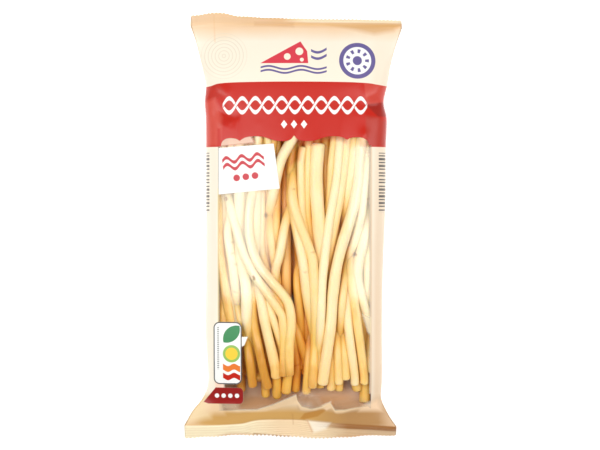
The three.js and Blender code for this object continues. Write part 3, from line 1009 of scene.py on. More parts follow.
@dataclass
class FilmBag:
    """The film bag: one closed skin, wrapped from a flat sheet round the strings.

    The columns run along the pack, two to a tooth, and are crowded towards the side folds by
    crowding, but for even_over at each end. seam is the two edges of the lengthwise seam, and
    seam_edge the width of its step. rib_pitch, TOOTHED, RIB_START and RIB_END are shares of a
    fin's length. WAVES are the height, turn and phase of each wave of a fin's edge.
    """

    tube: FilmTube
    drape: Drape
    teeth: int = 54
    tooth_depth: float = 1.3
    body_rows: int = 212
    fin_rows: int = 36
    rib_pitch: float = 0.111
    rib_height: float = 0.13
    crowding: float = 0.4
    even_over: float = 16.0
    seam: Point = (-3.0, 9.0)
    seam_edge: float = 0.3
    pleats: int = 46
    pleat_seed: int = 21
    pleat_span: float = 52
    pleat_run: Point = (7, 20)
    pleat_rise: Point = (0.25, 0.6)
    pleat_reach: Point = (1.2, 2.6)
    pleat_lean: float = 0.09
    pleat_stray: float = 1.5
    pleat_crisp: float = 0.5

    TOOTHED = (0.9, 1.0)
    RIB_START = (0.02, 0.1)
    RIB_END = (0.88, 0.95)
    SEAM_FADE = (6, 26)
    MERGE = 0.01
    WAVES = ((0.5, 9.0, 1.3), (0.3, 23.0, 0.0))

    def __post_init__(self) -> None:
        """Counts the columns and rows of the sheet, and draws its pleats."""
        self.columns = 2 * self.teeth
        self.rows = self.body_rows + 2 * self.fin_rows
        rng = np.random.default_rng(self.pleat_seed)
        self.wrinkles = tuple(self.pleat(1 if k % 2 else -1, rng) for k in range(self.pleats))

    def pleat(self, towards: int, rng: np.random.Generator) -> Fold:
        """A small pleat that runs in from a seal.

        Args:
            towards: 1 at the header end, and -1 at the other.
            rng: The source of its place and size.

        Returns:
            The pleat.
        """
        end = towards * self.tube.last
        x = rng.uniform(-self.pleat_span, self.pleat_span)
        run = rng.uniform(*self.pleat_run)
        lean = -x * rng.uniform(0.0, self.pleat_lean)
        lean += rng.uniform(-self.pleat_stray, self.pleat_stray)
        rise = rng.uniform(*self.pleat_rise) * rng.choice((-1, 1))
        path = ((x, end + towards), (x + lean, end - towards * run))
        return Fold(path, rise, rng.uniform(*self.pleat_reach), self.pleat_crisp)

    def shares(self, y: float) -> np.ndarray:
        """Places of the columns across.

        Args:
            y: Place along the pack.

        Returns:
            A share from -1 to 1 for each column.
        """
        even = np.linspace(-1, 1, self.columns + 1)
        crowded = even + (np.sin(math.pi / 2 * even) - even) * self.crowding
        inside = np.minimum(y - self.tube.first, self.tube.last - y)
        return even + (crowded - even) * smoothstep(inside, 0, self.even_over)

    def body_row(self, y: float) -> tuple[np.ndarray, np.ndarray]:
        """The front and back film at one place along the pack.

        Args:
            y: The place.

        Returns:
            Points of the front and of the back, both from left to right.
        """
        share = self.shares(y)
        x = self.tube.middle(y) + self.tube.half(y) * share
        relief = sum(f.relief(x, np.full_like(x, y)) for f in (*FOLDS, *self.wrinkles))
        full = self.tube.relief_share(x, y)
        there = np.full_like(x, y)
        rise = np.maximum(self.drape.rise(x, there) + relief * full, self.drape.least(x, there))
        front = np.maximum(self.tube.front(x, y) + rise, self.tube.back(x, y))
        along = y + self.tube.stray(y, share)
        under_x, seam = self.seam_columns(x, y)
        back = self.tube.back(under_x, y) - self.tube.SEAM_THICKNESS * self.tube.seam_share(y) * seam
        back[0], back[-1] = front[0], front[-1]
        return np.column_stack([x, along, front]), np.column_stack([under_x, along, back])

    def seam_columns(self, x: np.ndarray, y: float) -> tuple[np.ndarray, np.ndarray]:
        """Draws the nearest columns to the edges of the back seam.

        Args:
            x: Places of the columns.
            y: Place along the pack.

        Returns:
            The new places, and 1 for each column on the seam.
        """
        middle_share = self.shares(0.0)
        usual = self.tube.middle(0.0) + self.tube.half(0.0) * middle_share
        low, high = (int(np.argmin(np.abs(usual - edge))) for edge in self.seam)
        drawn = x.copy()
        drawn[low], drawn[low - 1] = self.seam[0], self.seam[0] - self.seam_edge
        drawn[high], drawn[high + 1] = self.seam[1], self.seam[1] + self.seam_edge
        inside = min(y - self.tube.first, self.tube.last - y)
        weight = float(smoothstep(inside, *self.SEAM_FADE))
        on = np.zeros_like(x)
        on[low:high + 1] = 1
        return x + (drawn - x) * weight, on

    def fin_row(self, fin: Fin, t: float) -> tuple[np.ndarray, np.ndarray]:
        """The front and back of a fin at one place along it.

        Args:
            fin: The fin.
            t: The place, 0 at the root and 1 at the toothed edge.

        Returns:
            Points of the front and of the back, both from left to right.
        """
        tube = self.tube
        y = tube.last if fin.towards > 0 else tube.first
        share = np.linspace(-1, 1, self.columns + 1)
        zigzag = np.where(np.arange(len(share)) % 2, 1, -1) * self.tooth_depth / 2
        toothed = smoothstep(t, *self.TOOTHED) * zigzag / fin.length
        out, down, angle = fin.reach(share, t + toothed)
        level = tube.swell(share, y, tube.CROWN_POWER)
        side = tube.value("side", y)
        root = side + ((tube.value("crown", y) + tube.value("under", y)) / 2 - side) * level
        ribs = math.sin(2 * math.pi * t / self.rib_pitch) * self.rib_height
        ribs *= smoothstep(t, *self.RIB_START) * (1 - smoothstep(t, *self.RIB_END))
        wave = sum(height * np.sin(share * turn + phase) for height, turn, phase in self.WAVES)
        centre = np.column_stack([
            tube.middle(y) + tube.half(y) * share,
            y + tube.stray(y, share) + fin.towards * out,
            root + tube.SEAM_THICKNESS - down + wave * t,
        ])
        facing = np.column_stack([np.zeros_like(share), fin.towards * np.sin(angle), np.cos(angle)])
        edge = np.ones_like(share)
        edge[[0, -1]] = 0
        edge = edge * (fin.thickness / 2) * (0 if t >= 1 else 1)
        return (centre + facing * (edge + ribs)[:, None], centre + facing * (ribs - edge)[:, None])

    def row(self, k: int) -> np.ndarray:
        """One row of the sheet, wrapped round the tube.

        Args:
            k: Number of the row, from the teeth of one fin to those of the other.

        Returns:
            Its points, from the left fold over the front and back to it under the back.
        """
        if k < self.fin_rows:
            front, back = self.fin_row(BOTTOM_FIN, 1 - k / self.fin_rows)
        elif k > self.fin_rows + self.body_rows:
            front, back = self.fin_row(TOP_FIN, (k - self.fin_rows - self.body_rows) / self.fin_rows)
        else:
            t = (k - self.fin_rows) / self.body_rows
            front, back = self.body_row(self.tube.first + (self.tube.last - self.tube.first) * t)
        return np.vstack([front, back[-2::-1]])

    def build(self) -> tuple[bpy.types.Object, float]:
        """Wraps a flat grid round the strings and closes it.

        Returns:
            The bag, and how far the plan is shifted along Y to centre it.
        """
        deselect_all()
        around = 2 * self.columns
        bpy.ops.mesh.primitive_grid_add(x_subdivisions=around, y_subdivisions=self.rows, size=2)
        bag = bpy.context.object
        bag.name = bag.data.name = "film_bag"
        flat = corners_of(bag.data)
        column = np.round((flat[:, 0] + 1) / 2 * around).astype(int)
        line = np.round((flat[:, 1] + 1) / 2 * self.rows).astype(int)
        wrapped = np.stack([self.row(k) for k in range(self.rows + 1)])
        shift = -(wrapped[..., 1].min() + wrapped[..., 1].max()) / 2
        wrapped[..., 1] += shift
        move_corners(bag.data, wrapped[line, column] * MM)
        bpy.ops.object.mode_set(mode="EDIT")
        bpy.ops.mesh.select_all(action="SELECT")
        bpy.ops.mesh.remove_doubles(threshold=self.MERGE * MM)
        bpy.ops.mesh.normals_make_consistent(inside=False)
        bpy.ops.object.mode_set(mode="OBJECT")
        bpy.ops.object.shade_smooth()
        return bag, float(shift)


# ---- Node arithmetic ----


@dataclass(frozen=True)
class Number:
    """A number that varies over a surface, built up from Math nodes."""

    tree: bpy.types.NodeTree
    socket: Socket

    def math(self, operation: str, *others: "Number | float", clamp: bool = False) -> "Number":
        """Works on the number with a Math node.

        Args:
            operation: The node's operation.
            others: The numbers that it takes after this one.
            clamp: True to keep the result between 0 and 1.

        Returns:
            The result.
        """
        node = self.tree.nodes.new("ShaderNodeMath")
        node.operation = operation
        node.use_clamp = clamp
        for entry, value in zip(node.inputs, (self, *others)):
            if isinstance(value, Number):
                self.tree.links.new(value.socket, entry)
            else:
                entry.default_value = value
        return Number(self.tree, node.outputs[0])

    def __add__(self, other: "Number | float") -> "Number":
        """The sum."""
        return self.math("ADD", other)

    def __sub__(self, other: "Number | float") -> "Number":
        """The difference."""
        return self.math("SUBTRACT", other)

    def __mul__(self, other: "Number | float") -> "Number":
        """The product."""
        return self.math("MULTIPLY", other)

    def __neg__(self) -> "Number":
        """The number with its sign turned."""
        return self.math("MULTIPLY", -1.0)

    def __abs__(self) -> "Number":
        """The number without its sign."""
        return self.math("ABSOLUTE")

    def inverted(self) -> "Number":
        """One less this number."""
        return self.math("MULTIPLY_ADD", -1.0, 1.0)

    def least(self, other: "Number | float") -> "Number":
        """The smaller of the two."""
        return self.math("MINIMUM", other)

    def most(self, other: "Number | float") -> "Number":
        """The larger of the two."""
        return self.math("MAXIMUM", other)

    def inside(self, soft: float = 0.18) -> "Number":
        """For a distance that is negative inside a shape: 1 inside it and 0 outside."""
        return self.math("MULTIPLY_ADD", -1.0 / soft, 0.5, clamp=True)

    def ramp(self, low: float, high: float) -> "Number":
        """A step from 0 at low to 1 at high."""
        scale = 1.0 / (high - low)
        return self.math("MULTIPLY_ADD", scale, -low * scale, clamp=True)


class Sheet:
    """A material's node tree, with the plan of the pack to draw shapes in.

    x, y and z are places in the plan, and true_x stays in place where the plan is moved away.
    """

    FAR = 1000.0

    def __init__(self, name: str, shift: float = 0.0) -> None:
        """Makes an empty material.

        Args:
            name: The material's name.
            shift: How far the plan is shifted along Y in the part's frame, in millimetres.
        """
        self.material = bpy.data.materials.new(name)
        self.material.use_nodes = True
        self.tree = self.material.node_tree
        self.tree.nodes.clear()
        self.output = self.node("ShaderNodeOutputMaterial")
        self.places = self.node("ShaderNodeTexCoord")
        plan = self.node("ShaderNodeMapping")
        plan.inputs["Scale"].default_value = (1 / MM, 1 / MM, 1 / MM)
        plan.inputs["Location"].default_value = (0, -shift, 0)
        self.link(self.places.outputs["Object"], plan.inputs["Vector"])
        self.plan = plan.outputs[0]
        self.x, self.y, self.z, self.flat = self.read_plan()
        self.true_x = self.x

    def read_plan(self) -> tuple[Number, Number, Number, Socket]:
        """The three numbers of the plan, and the plan without its height."""
        parts = self.node("ShaderNodeSeparateXYZ")
        self.link(self.plan, parts.inputs[0])
        flat = self.vector("MULTIPLY", self.plan, (1, 1, 0)).outputs[0]
        return *(Number(self.tree, parts.outputs[k]) for k in range(3)), flat

    def move_away(self, where: Number) -> None:
        """Moves the plan far to the right, out of reach of any shape drawn in it.

        Args:
            where: 1 where to move it and 0 elsewhere.
        """
        away = self.vector("SCALE", (self.FAR, 0, 0))
        self.link(where.socket, away.inputs["Scale"])
        self.plan = self.vector("ADD", self.plan, away.outputs[0]).outputs[0]
        self.x, self.y, self.z, self.flat = self.read_plan()

    def node(self, kind: str) -> bpy.types.Node:
        """A new node."""
        return self.tree.nodes.new(kind)

    def link(self, source: Socket, target: Socket) -> None:
        """Joins two sockets."""
        self.tree.links.new(source, target)

    def feed(self, entry: Socket, value: tuple[float, ...] | Socket) -> None:
        """Joins a socket to an input, or sets the input to a plain value."""
        if isinstance(value, Socket):
            self.link(value, entry)
        else:
            entry.default_value = value

    def vector(self, operation: str, *values: Place | Socket) -> bpy.types.Node:
        """A Vector Math node.

        Args:
            operation: The node's operation.
            values: What it works on: sockets and plain vectors.

        Returns:
            The node.
        """
        node = self.node("ShaderNodeVectorMath")
        node.operation = operation
        for entry, value in zip(node.inputs, values):
            self.feed(entry, value)
        return node

    def disc(self, centre: Point, radius: float) -> Number:
        """Distance to a disc, negative inside."""
        away = self.vector("DISTANCE", self.flat, (*centre, 0)).outputs["Value"]
        return Number(self.tree, away) - radius

    def half_plane(self, a: Point, b: Point) -> Number:
        """Distance to a line.

        Args:
            a: A point of the line.
            b: A later point of the line.

        Returns:
            The distance, which is negative on the right of the way from a to b.
        """
        way = math.hypot(b[0] - a[0], b[1] - a[1])
        outward = (-(b[1] - a[1]) / way, (b[0] - a[0]) / way, 0)
        dot = self.vector("DOT_PRODUCT", self.flat, outward).outputs["Value"]
        return Number(self.tree, dot) - (outward[0] * a[0] + outward[1] * a[1])

    def polygon(self, corners: Sequence[Point]) -> Number:
        """Distance to a convex shape.

        Args:
            corners: Its corners, clockwise.

        Returns:
            The distance, negative inside.
        """
        sides = [self.half_plane(a, b) for a, b in zip(corners, (*corners[1:], corners[0]))]
        found = sides[0]
        for side in sides[1:]:
            found = found.most(side)
        return found

    def box(self, centre: Point, half: Point, rounding: float = 0.0) -> Number:
        """Distance to an upright box.

        Args:
            centre: Its middle.
            half: Half its width and half its height.
            rounding: Radius of its corners.

        Returns:
            The distance, negative inside.
        """
        dx = abs(self.x - centre[0]) - (half[0] - rounding)
        dy = abs(self.y - centre[1]) - (half[1] - rounding)
        if not rounding:
            return dx.most(dy)
        square = dx.most(0).math("POWER", 2.0) + dy.most(0).math("POWER", 2.0)
        return square.math("SQRT") + dx.most(dy).least(0) - rounding

    def height_line(self, points: Sequence[Point], sharp: Iterable[int] = ()) -> Number:
        """A height that follows a line across the pack.

        Args:
            points: Points of the line, from left to right.
            sharp: Numbers of the points where the line has a corner.

        Returns:
            The line's height at each place across.
        """
        xs = [p[0] for p in points]
        ys = [p[1] for p in points]
        low, span = min(ys), max(ys) - min(ys)
        curve = self.node("ShaderNodeFloatCurve")
        line = curve.mapping.curves[0]
        sharp = set(sharp)
        for k, (x, y) in enumerate(points):
            at = ((x - xs[0]) / (xs[-1] - xs[0]), (y - low) / span)
            if k in (0, len(points) - 1):
                point = line.points[-1 if k else 0]
                point.location = at
            else:
                point = line.points.new(*at)
            point.handle_type = "VECTOR" if k in sharp else "AUTO"
        curve.mapping.update()
        self.link(self.x.ramp(xs[0], xs[-1]).socket, curve.inputs["Value"])
        return Number(self.tree, curve.outputs[0]) * span + low

    def noise(self, vector: Socket, scale: float, detail: float = 2.0) -> Number:
        """A cloudy number about one half.

        Args:
            vector: Where it is read.
            scale: Clouds to a unit.
            detail: Finer layers of the clouds.

        Returns:
            The number.
        """
        node = self.node("ShaderNodeTexNoise")
        node.inputs["Scale"].default_value = scale
        node.inputs["Detail"].default_value = detail
        self.link(vector, node.inputs["Vector"])
        return Number(self.tree, node.outputs["Fac"])

    def mix(self, share: Number, first: Paint, second: Paint) -> Socket:
        """A colour between two.

        Args:
            share: How much of the second there is.
            first: The first colour.
            second: The second colour.

        Returns:
            The mixed colour.
        """
        node = self.node("ShaderNodeMix")
        node.data_type = "RGBA"
        self.link(share.socket, node.inputs[0])
        for entry, paint in ((node.inputs[6], first), (node.inputs[7], second)):
            self.feed(entry, paint if isinstance(paint, Socket) else (*paint, 1))
        return node.outputs[2]


# ---- Finishes ----


def from_screen(*channels: float) -> Colour:
    """A linear colour from screen values.

    Args:
        channels: The red, green and blue values, from 0 to 255.

    Returns:
        The colour.
    """

    def one(value: float) -> float:
        """One channel."""
        share = value / 255
        return share / 12.92 if share <= 0.04045 else ((share + 0.055) / 1.055) ** 2.4

    return tuple(one(value) for value in channels)


@dataclass(frozen=True)
class CheeseFinish:
    """Smoked cheese: pale, a little see-through, with fine fibres along each string.

    The strings run from pale over smoked to deep with the smoke they took, and darker towards
    their lower ends. Painted shade turns their sides to the flank colour and what lies deeper to
    the hidden colour, a painted shadow darkens the middle of their lower ends, and painted glare
    pales them at the sides and the top left of the window. scatter is how far red, green and blue
    light spread inside, and scatter_scale and relief are in metres.
    """

    pale: Colour = from_screen(255, 236, 196)
    smoked: Colour = from_screen(252, 208, 124)
    deep: Colour = from_screen(210, 146, 50)
    # Painted shade: the colour of the strings' sides, and the colour of places lying deeper under
    # others.
    flank_shade: Colour = from_screen(240, 188, 80)
    hidden: Colour = from_screen(208, 117, 4)
    nick: Colour = from_screen(150, 92, 30)
    roughness: float = 0.36
    gloss: float = 0.35
    coat: float = 0.3
    coat_roughness: float = 0.3
    subsurface: float = 0.35
    scatter: tuple[float, float, float] = (1.0, 0.55, 0.2)
    scatter_scale: float = 0.0022
    bump: float = 0.355
    relief: float = 0.0004
    grain: float = 0.35
    least_smoke: float = 0.06
    # Darkening towards the lower ends, most at their left, and a painted shadow at the middle of the
    # lower ends.
    lower_end_darkening: float = 0.2
    lower_left_darkening: float = 0.66
    lower_middle_shadow: float = 0.45
    # How far the painted glare pales the strings.
    glare_strength: float = 0.8

    SMOKED_FROM = (0.35, 1.35)
    DEEP_FROM = (0.95, 1.4)
    # Depths over which painted shade darkens the sides of the strings and the places lying deeper.
    FLANK_SHADE_DEPTH = (-1.9, 1.8)
    HIDDEN_DEPTH = (1.8, 7.5)
    NICKS = ((-37.7, 15.3), (-15.3, 5.9), (35.1, -16.2), (-21.8, -29.2))
    NICK_HALF = (0.7, 1.1)
    DENTS = ((-34, -9.4), (-34, -15.6), (-32.3, -21.8), (-32.9, -37.1), (0.6, 20.5), (11.3, -15),
             (7, -26), (42.5, 15))
    DENT_HALF = (1.0, 0.5)
    # Where painted glare pales the strings.
    GLARE_LEFT = ((-40.5, 19), (-15.5, 19), (-17, -26), (-28, -57), (-34.5, -57))
    GLARE_RIGHT = ((35, 44), (45, 44), (46, -62), (38.5, -50), (32, -16))
    GLARE_TOP = ((-42, 52), (-20, 52), (-20, 40), (-42, 40))
    # A painted shadow on the strings near the window's top edge.
    SHADOW_PATCH = ((3.5, 48), (6, 47), (3.5, 37), (-3.5, 31.5), (-1.5, 39))

    def make(self) -> bpy.types.Material:
        """Makes the material.

        Returns:
            The material, drawn along each string's own map.
        """
        sheet = Sheet("smoked_cheese")
        fibre = sheet.node("ShaderNodeUVMap")
        fibre.uv_map = "fibre"
        drawn_out = sheet.vector("MULTIPLY", fibre.outputs[0], (1.0, 0.05, 1.0)).outputs[0]
        streaks = sheet.noise(drawn_out, 1.7, 3.0)
        sunk = self.attribute(sheet, "depth").ramp(*self.HIDDEN_DEPTH)
        shader = sheet.node("ShaderNodeBsdfPrincipled")
        sheet.link(self.colour(sheet, streaks, sunk), shader.inputs["Base Color"])
        sheet.link((sunk.inverted() * self.coat).socket, shader.inputs["Coat Weight"])
        for name, value in (
            ("Roughness", self.roughness),
            ("Specular IOR Level", self.gloss),
            ("Coat Roughness", self.coat_roughness),
            ("Subsurface Weight", self.subsurface),
            ("Subsurface Radius", self.scatter),
            ("Subsurface Scale", self.scatter_scale),
        ):
            shader.inputs[name].default_value = value
        bump = sheet.node("ShaderNodeBump")
        bump.inputs["Strength"].default_value = self.bump
        bump.inputs["Distance"].default_value = self.relief
        grain = sheet.noise(sheet.plan, 2.2)
        sheet.link((streaks + grain * self.grain).socket, bump.inputs["Height"])
        sheet.link(bump.outputs[0], shader.inputs["Normal"])
        sheet.link(shader.outputs[0], sheet.output.inputs["Surface"])
        return sheet.material

    def attribute(self, sheet: Sheet, name: str) -> Number:
        """The number of a given name that each vertex of the strings carries."""
        node = sheet.node("ShaderNodeAttribute")
        node.attribute_name = name
        return Number(sheet.tree, node.outputs["Fac"])

    def colour(self, sheet: Sheet, streaks: Number, sunk: Number) -> Socket:
        """The colour of the strings.

        Args:
            sheet: Where to draw.
            streaks: A cloudy number drawn out along each string.
            sunk: How far a place is hidden under other strings, from 0 to 1.

        Returns:
            The colour.
        """
        # Painted glare pales the strings at the sides and the top left of the window.
        glare_pallor = self.glare_pallor(sheet)
        tint = self.smoke(sheet) - glare_pallor * self.glare_strength
        patches = sheet.noise(sheet.plan, 0.09)
        amount = (tint * 1.1 + patches * 0.4 + streaks * 0.3).ramp(*self.SMOKED_FROM)
        colour = sheet.mix(amount, self.pale, self.smoked)
        dark = (tint * 0.6 + patches * 0.6 + streaks * 0.3).ramp(*self.DEEP_FROM)
        colour = sheet.mix(dark, colour, self.deep)
        # Painted shade on the sides of the strings and on places lying deeper, weaker where the
        # painted glare lies.
        unglared = (glare_pallor * self.glare_strength).inverted()
        side = self.attribute(sheet, "depth").ramp(*self.FLANK_SHADE_DEPTH)
        colour = sheet.mix(side * unglared * 0.75, colour, self.flank_shade)
        # A painted shadow near the window's top edge, in the hidden colour.
        shadow_patch = sheet.polygon(self.SHADOW_PATCH).inside(3.0) * 0.8
        colour = sheet.mix((sunk * unglared * 0.94).most(shadow_patch), colour, self.hidden)
        return sheet.mix(self.nicks(sheet), colour, self.nick)

    def smoke(self, sheet: Sheet) -> Number:
        """How dark each place is: the smoke that each string took, more towards the lower ends and
        most at their left, with a painted shadow at the middle of the lower ends.

        Args:
            sheet: Where to draw.

        Returns:
            A number from 0 for none to 1 and more.
        """
        low = (-sheet.y).ramp(35, 95)
        left = low * (-sheet.x).ramp(-14, 6)
        # A painted shadow at the middle of the lower ends.
        middle = (-sheet.y).ramp(74, 92) * (abs(sheet.x - 1.0) - 13).inside(6.0)
        tint = self.attribute(sheet, "smoke") + low * self.lower_end_darkening + left * self.lower_left_darkening
        return tint + self.least_smoke + middle * self.lower_middle_shadow

    def glare_pallor(self, sheet: Sheet) -> Number:
        """Painted glare: 1 where it pales the strings, at the sides and the top left of the window,
        and 0 elsewhere.
        """
        left = sheet.polygon(self.GLARE_LEFT)
        right = sheet.polygon(self.GLARE_RIGHT)
        return left.least(right).least(sheet.polygon(self.GLARE_TOP)).inside(4.5)

    def nicks(self, sheet: Sheet) -> Number:
        """The small brown nicks in the upper strings, and their fainter dents.

        Args:
            sheet: Where to draw.

        Returns:
            How brown each place is, from 0 to 1.
        """
        ragged = (sheet.noise(sheet.plan, 0.9) - 0.5) * 2.2
        found = []
        for places, half in ((self.NICKS, self.NICK_HALF), (self.DENTS, self.DENT_HALF)):
            spot = sheet.box(places[0], half, 0.5)
            for place in places[1:]:
                spot = spot.least(sheet.box(place, half, 0.5))
            found.append((spot + ragged).inside(1.0))
        return found[0] * 0.85 + found[1] * 0.35


class Ink:
    """The colours of the print, and of the painted light and shade on its creases, seals and
    window edges.
    """

    GLARE = from_screen(255, 251, 238)
    WHITE = from_screen(246, 246, 242)
    CREAM = from_screen(245, 234, 214)
    ORNAMENT = from_screen(226, 214, 192)
    PALE = from_screen(251, 236, 198)
    EDGE = from_screen(250, 224, 156)
    FLUSH = from_screen(254, 216, 192)
    BLUSH = from_screen(235, 208, 176)
    PEACH = from_screen(242, 208, 170)
    SHADED_PEACH = from_screen(212, 176, 134)
    EAR = from_screen(229, 201, 153)
    FOLD = from_screen(230, 198, 156)
    AMBER = from_screen(232, 186, 132)
    HONEY = from_screen(204, 158, 90)
    GOLD = from_screen(202, 146, 68)
    DEEP_GOLD = from_screen(184, 126, 52)
    TAN = from_screen(212, 160, 112)
    # Painted shade in the creases of the clear film.
    CREASE_SHADE = from_screen(180, 142, 106)
    WALNUT = from_screen(179, 134, 82)
    BROWN = from_screen(182, 130, 74)
    UMBER = from_screen(158, 106, 56)
    # Painted shadow under the red band, tinted red.
    RED_SHADOW = from_screen(188, 84, 36)
    RED = from_screen(196, 30, 8)
    SHADED_RED = from_screen(158, 30, 16)
    # Painted shade on the red band's creases.
    SHADOWED_RED = from_screen(184, 54, 40)
    SHINY_RED = from_screen(210, 82, 68)
    DARK_RED = from_screen(150, 20, 14)
    PINK = from_screen(214, 62, 76)
    CRIMSON = from_screen(196, 34, 50)
    VIOLET = from_screen(104, 94, 148)
    GREY = from_screen(66, 64, 68)
    GREEN = from_screen(58, 138, 84)
    LIGHT_GREEN = from_screen(150, 192, 96)
    YELLOW = from_screen(246, 206, 64)
    ORANGE = from_screen(232, 122, 48)


@dataclass(frozen=True)
class Facet:
    """A flat patch of creased film that catches the light or lies in shade.

    corners run clockwise in plan. cover says how far the patch hides what lies under a clear film,
    and soft how wide its edge is.
    """

    corners: tuple[Point, ...]
    colour: Colour
    strength: float = 1.0
    cover: float = 0.0
    soft: float = 1.0


WINDOW_FACETS = (
    Facet(((39.5, -51), (44.3, -53), (44.3, -63.5), (42, -60.5)), Ink.PALE, 0.9, 0.6, 1.5),
    Facet(((-41.5, 50), (-24, 51), (-21.5, 45.6), (-41.5, 43.6)), Ink.FLUSH, 0.9, 0.75, 1.5),
    Facet(((36, 49), (43, 47), (43, 37), (38.5, 42)), Ink.FLUSH, 0.5, 0.25, 2.0),
    Facet(((-29, -63.5), (-25.4, -63.3), (-27.4, -68.2), (-29, -69)), Ink.GLARE, 1.0, 1.0, 0.6),
)

BAND_FACETS = (
    Facet(((-50, 79), (-42, 79.5), (-37.5, 73), (-50, 68.5)), Ink.SHADOWED_RED, 0.5),
    Facet(((-50, 69), (-44, 71), (-40, 60), (-41, 43.9), (-50, 43.9)), Ink.SHINY_RED, 0.9, soft=2.5),
    Facet(((-42, 61), (-37, 65), (-30, 60.3), (-34.5, 57), (-42, 54.8)), Ink.SHADED_RED, 0.15,
          soft=0.7),
    Facet(((-42.6, 54), (-40.8, 54), (-40.2, 43.9), (-42.6, 43.9)), Ink.RED, 0.8, soft=1.2),
    Facet(((41, 67.5), (52, 69.5), (53.5, 61), (48, 60.5)), Ink.SHADED_RED, 0.95, soft=1.2),
    Facet(((40, 80), (54, 80), (52, 69), (41.5, 67.5)), Ink.SHINY_RED, 0.6),
    Facet(((41, 65), (48, 60.5), (53.5, 60), (53.5, 43.9), (41, 43.9)), Ink.SHADOWED_RED, 0.9, soft=1.6),
)

SEAL_FACETS = (
    Facet(((24, 112.8), (61.5, 114), (57, 109.6), (46, 107.6)), Ink.GOLD, 0.55, soft=3.0),
    Facet(((-22, 115.2), (0.5, 114.6), (0.5, 111.6), (-22, 112.4)), Ink.TAN, 0.35, soft=1.5),
    Facet(((-45.4, 119), (-44.6, 119), (-43.8, 103), (-44.6, 103)), Ink.AMBER, 0.35, soft=0.7),
    Facet(((8.5, -111.6), (21, -113), (18.7, -116.5), (11.9, -118.7)), Ink.GLARE, 0.5, soft=2.0),
    Facet(((7.4, -111), (8.4, -111), (11.6, -118.5), (10.6, -118.5)), Ink.TAN, 0.5, soft=0.6),
    Facet(((-0.8, -107.5), (0.2, -107.5), (0.6, -114), (-0.2, -114)), Ink.BROWN, 0.3, soft=0.7),
    Facet(((2.3, -99.5), (6, -96), (14, -98.5), (17, -104), (9, -106), (4, -104)), Ink.CREASE_SHADE,
          0.9, 0.35, 4.0),
    Facet(((4, -101.5), (10, -101.5), (12, -104.5), (5, -104.5)), Ink.GLARE, 0.5, 0.4, 3.0),
    Facet(((15.5, -102.8), (21.5, -100.4), (21.5, -104), (19, -105.5)), Ink.PEACH, 0.9, 0.7, 1.2),
    Facet(((24, -101), (38, -98.5), (43, -104), (30, -106.5), (24, -106.5)), Ink.CREASE_SHADE,
          0.9, 0.2, 3.0),
    Facet(((39, -102.5), (48, -100), (50, -106), (38, -106)), Ink.PEACH, 0.8, 0.7, 3.0),
    Facet(((-52, -97), (-45, -97), (-47, -110), (-62, -113)), Ink.EAR, 1.0, 1.0, 4.0),
    Facet(((-44, -100), (-31, -100.5), (-31, -105.6), (-46, -105.4)), Ink.FOLD, 0.7, 0.35, 4.0),
    Facet(((-50, -99), (-40.5, -99), (-39.5, -107.5), (-50, -107.5)), Ink.FOLD, 0.9, 0.9, 4.0),
    Facet(((-44, -88), (-38.9, -88), (-38.9, -94), (-44, -94)), Ink.FLUSH, 1.0, 1.0, 1.2),
    Facet(((4, -110.5), (6.5, -107.3), (17, -104.8), (18.5, -105.8), (14, -109.2), (6, -111)),
          Ink.DEEP_GOLD, 0.8, soft=0.9),
    Facet(((-22.7, -118.9), (-1, -120.3), (-1, -123), (-22.7, -121)), Ink.UMBER, 0.6, soft=0.5),
)


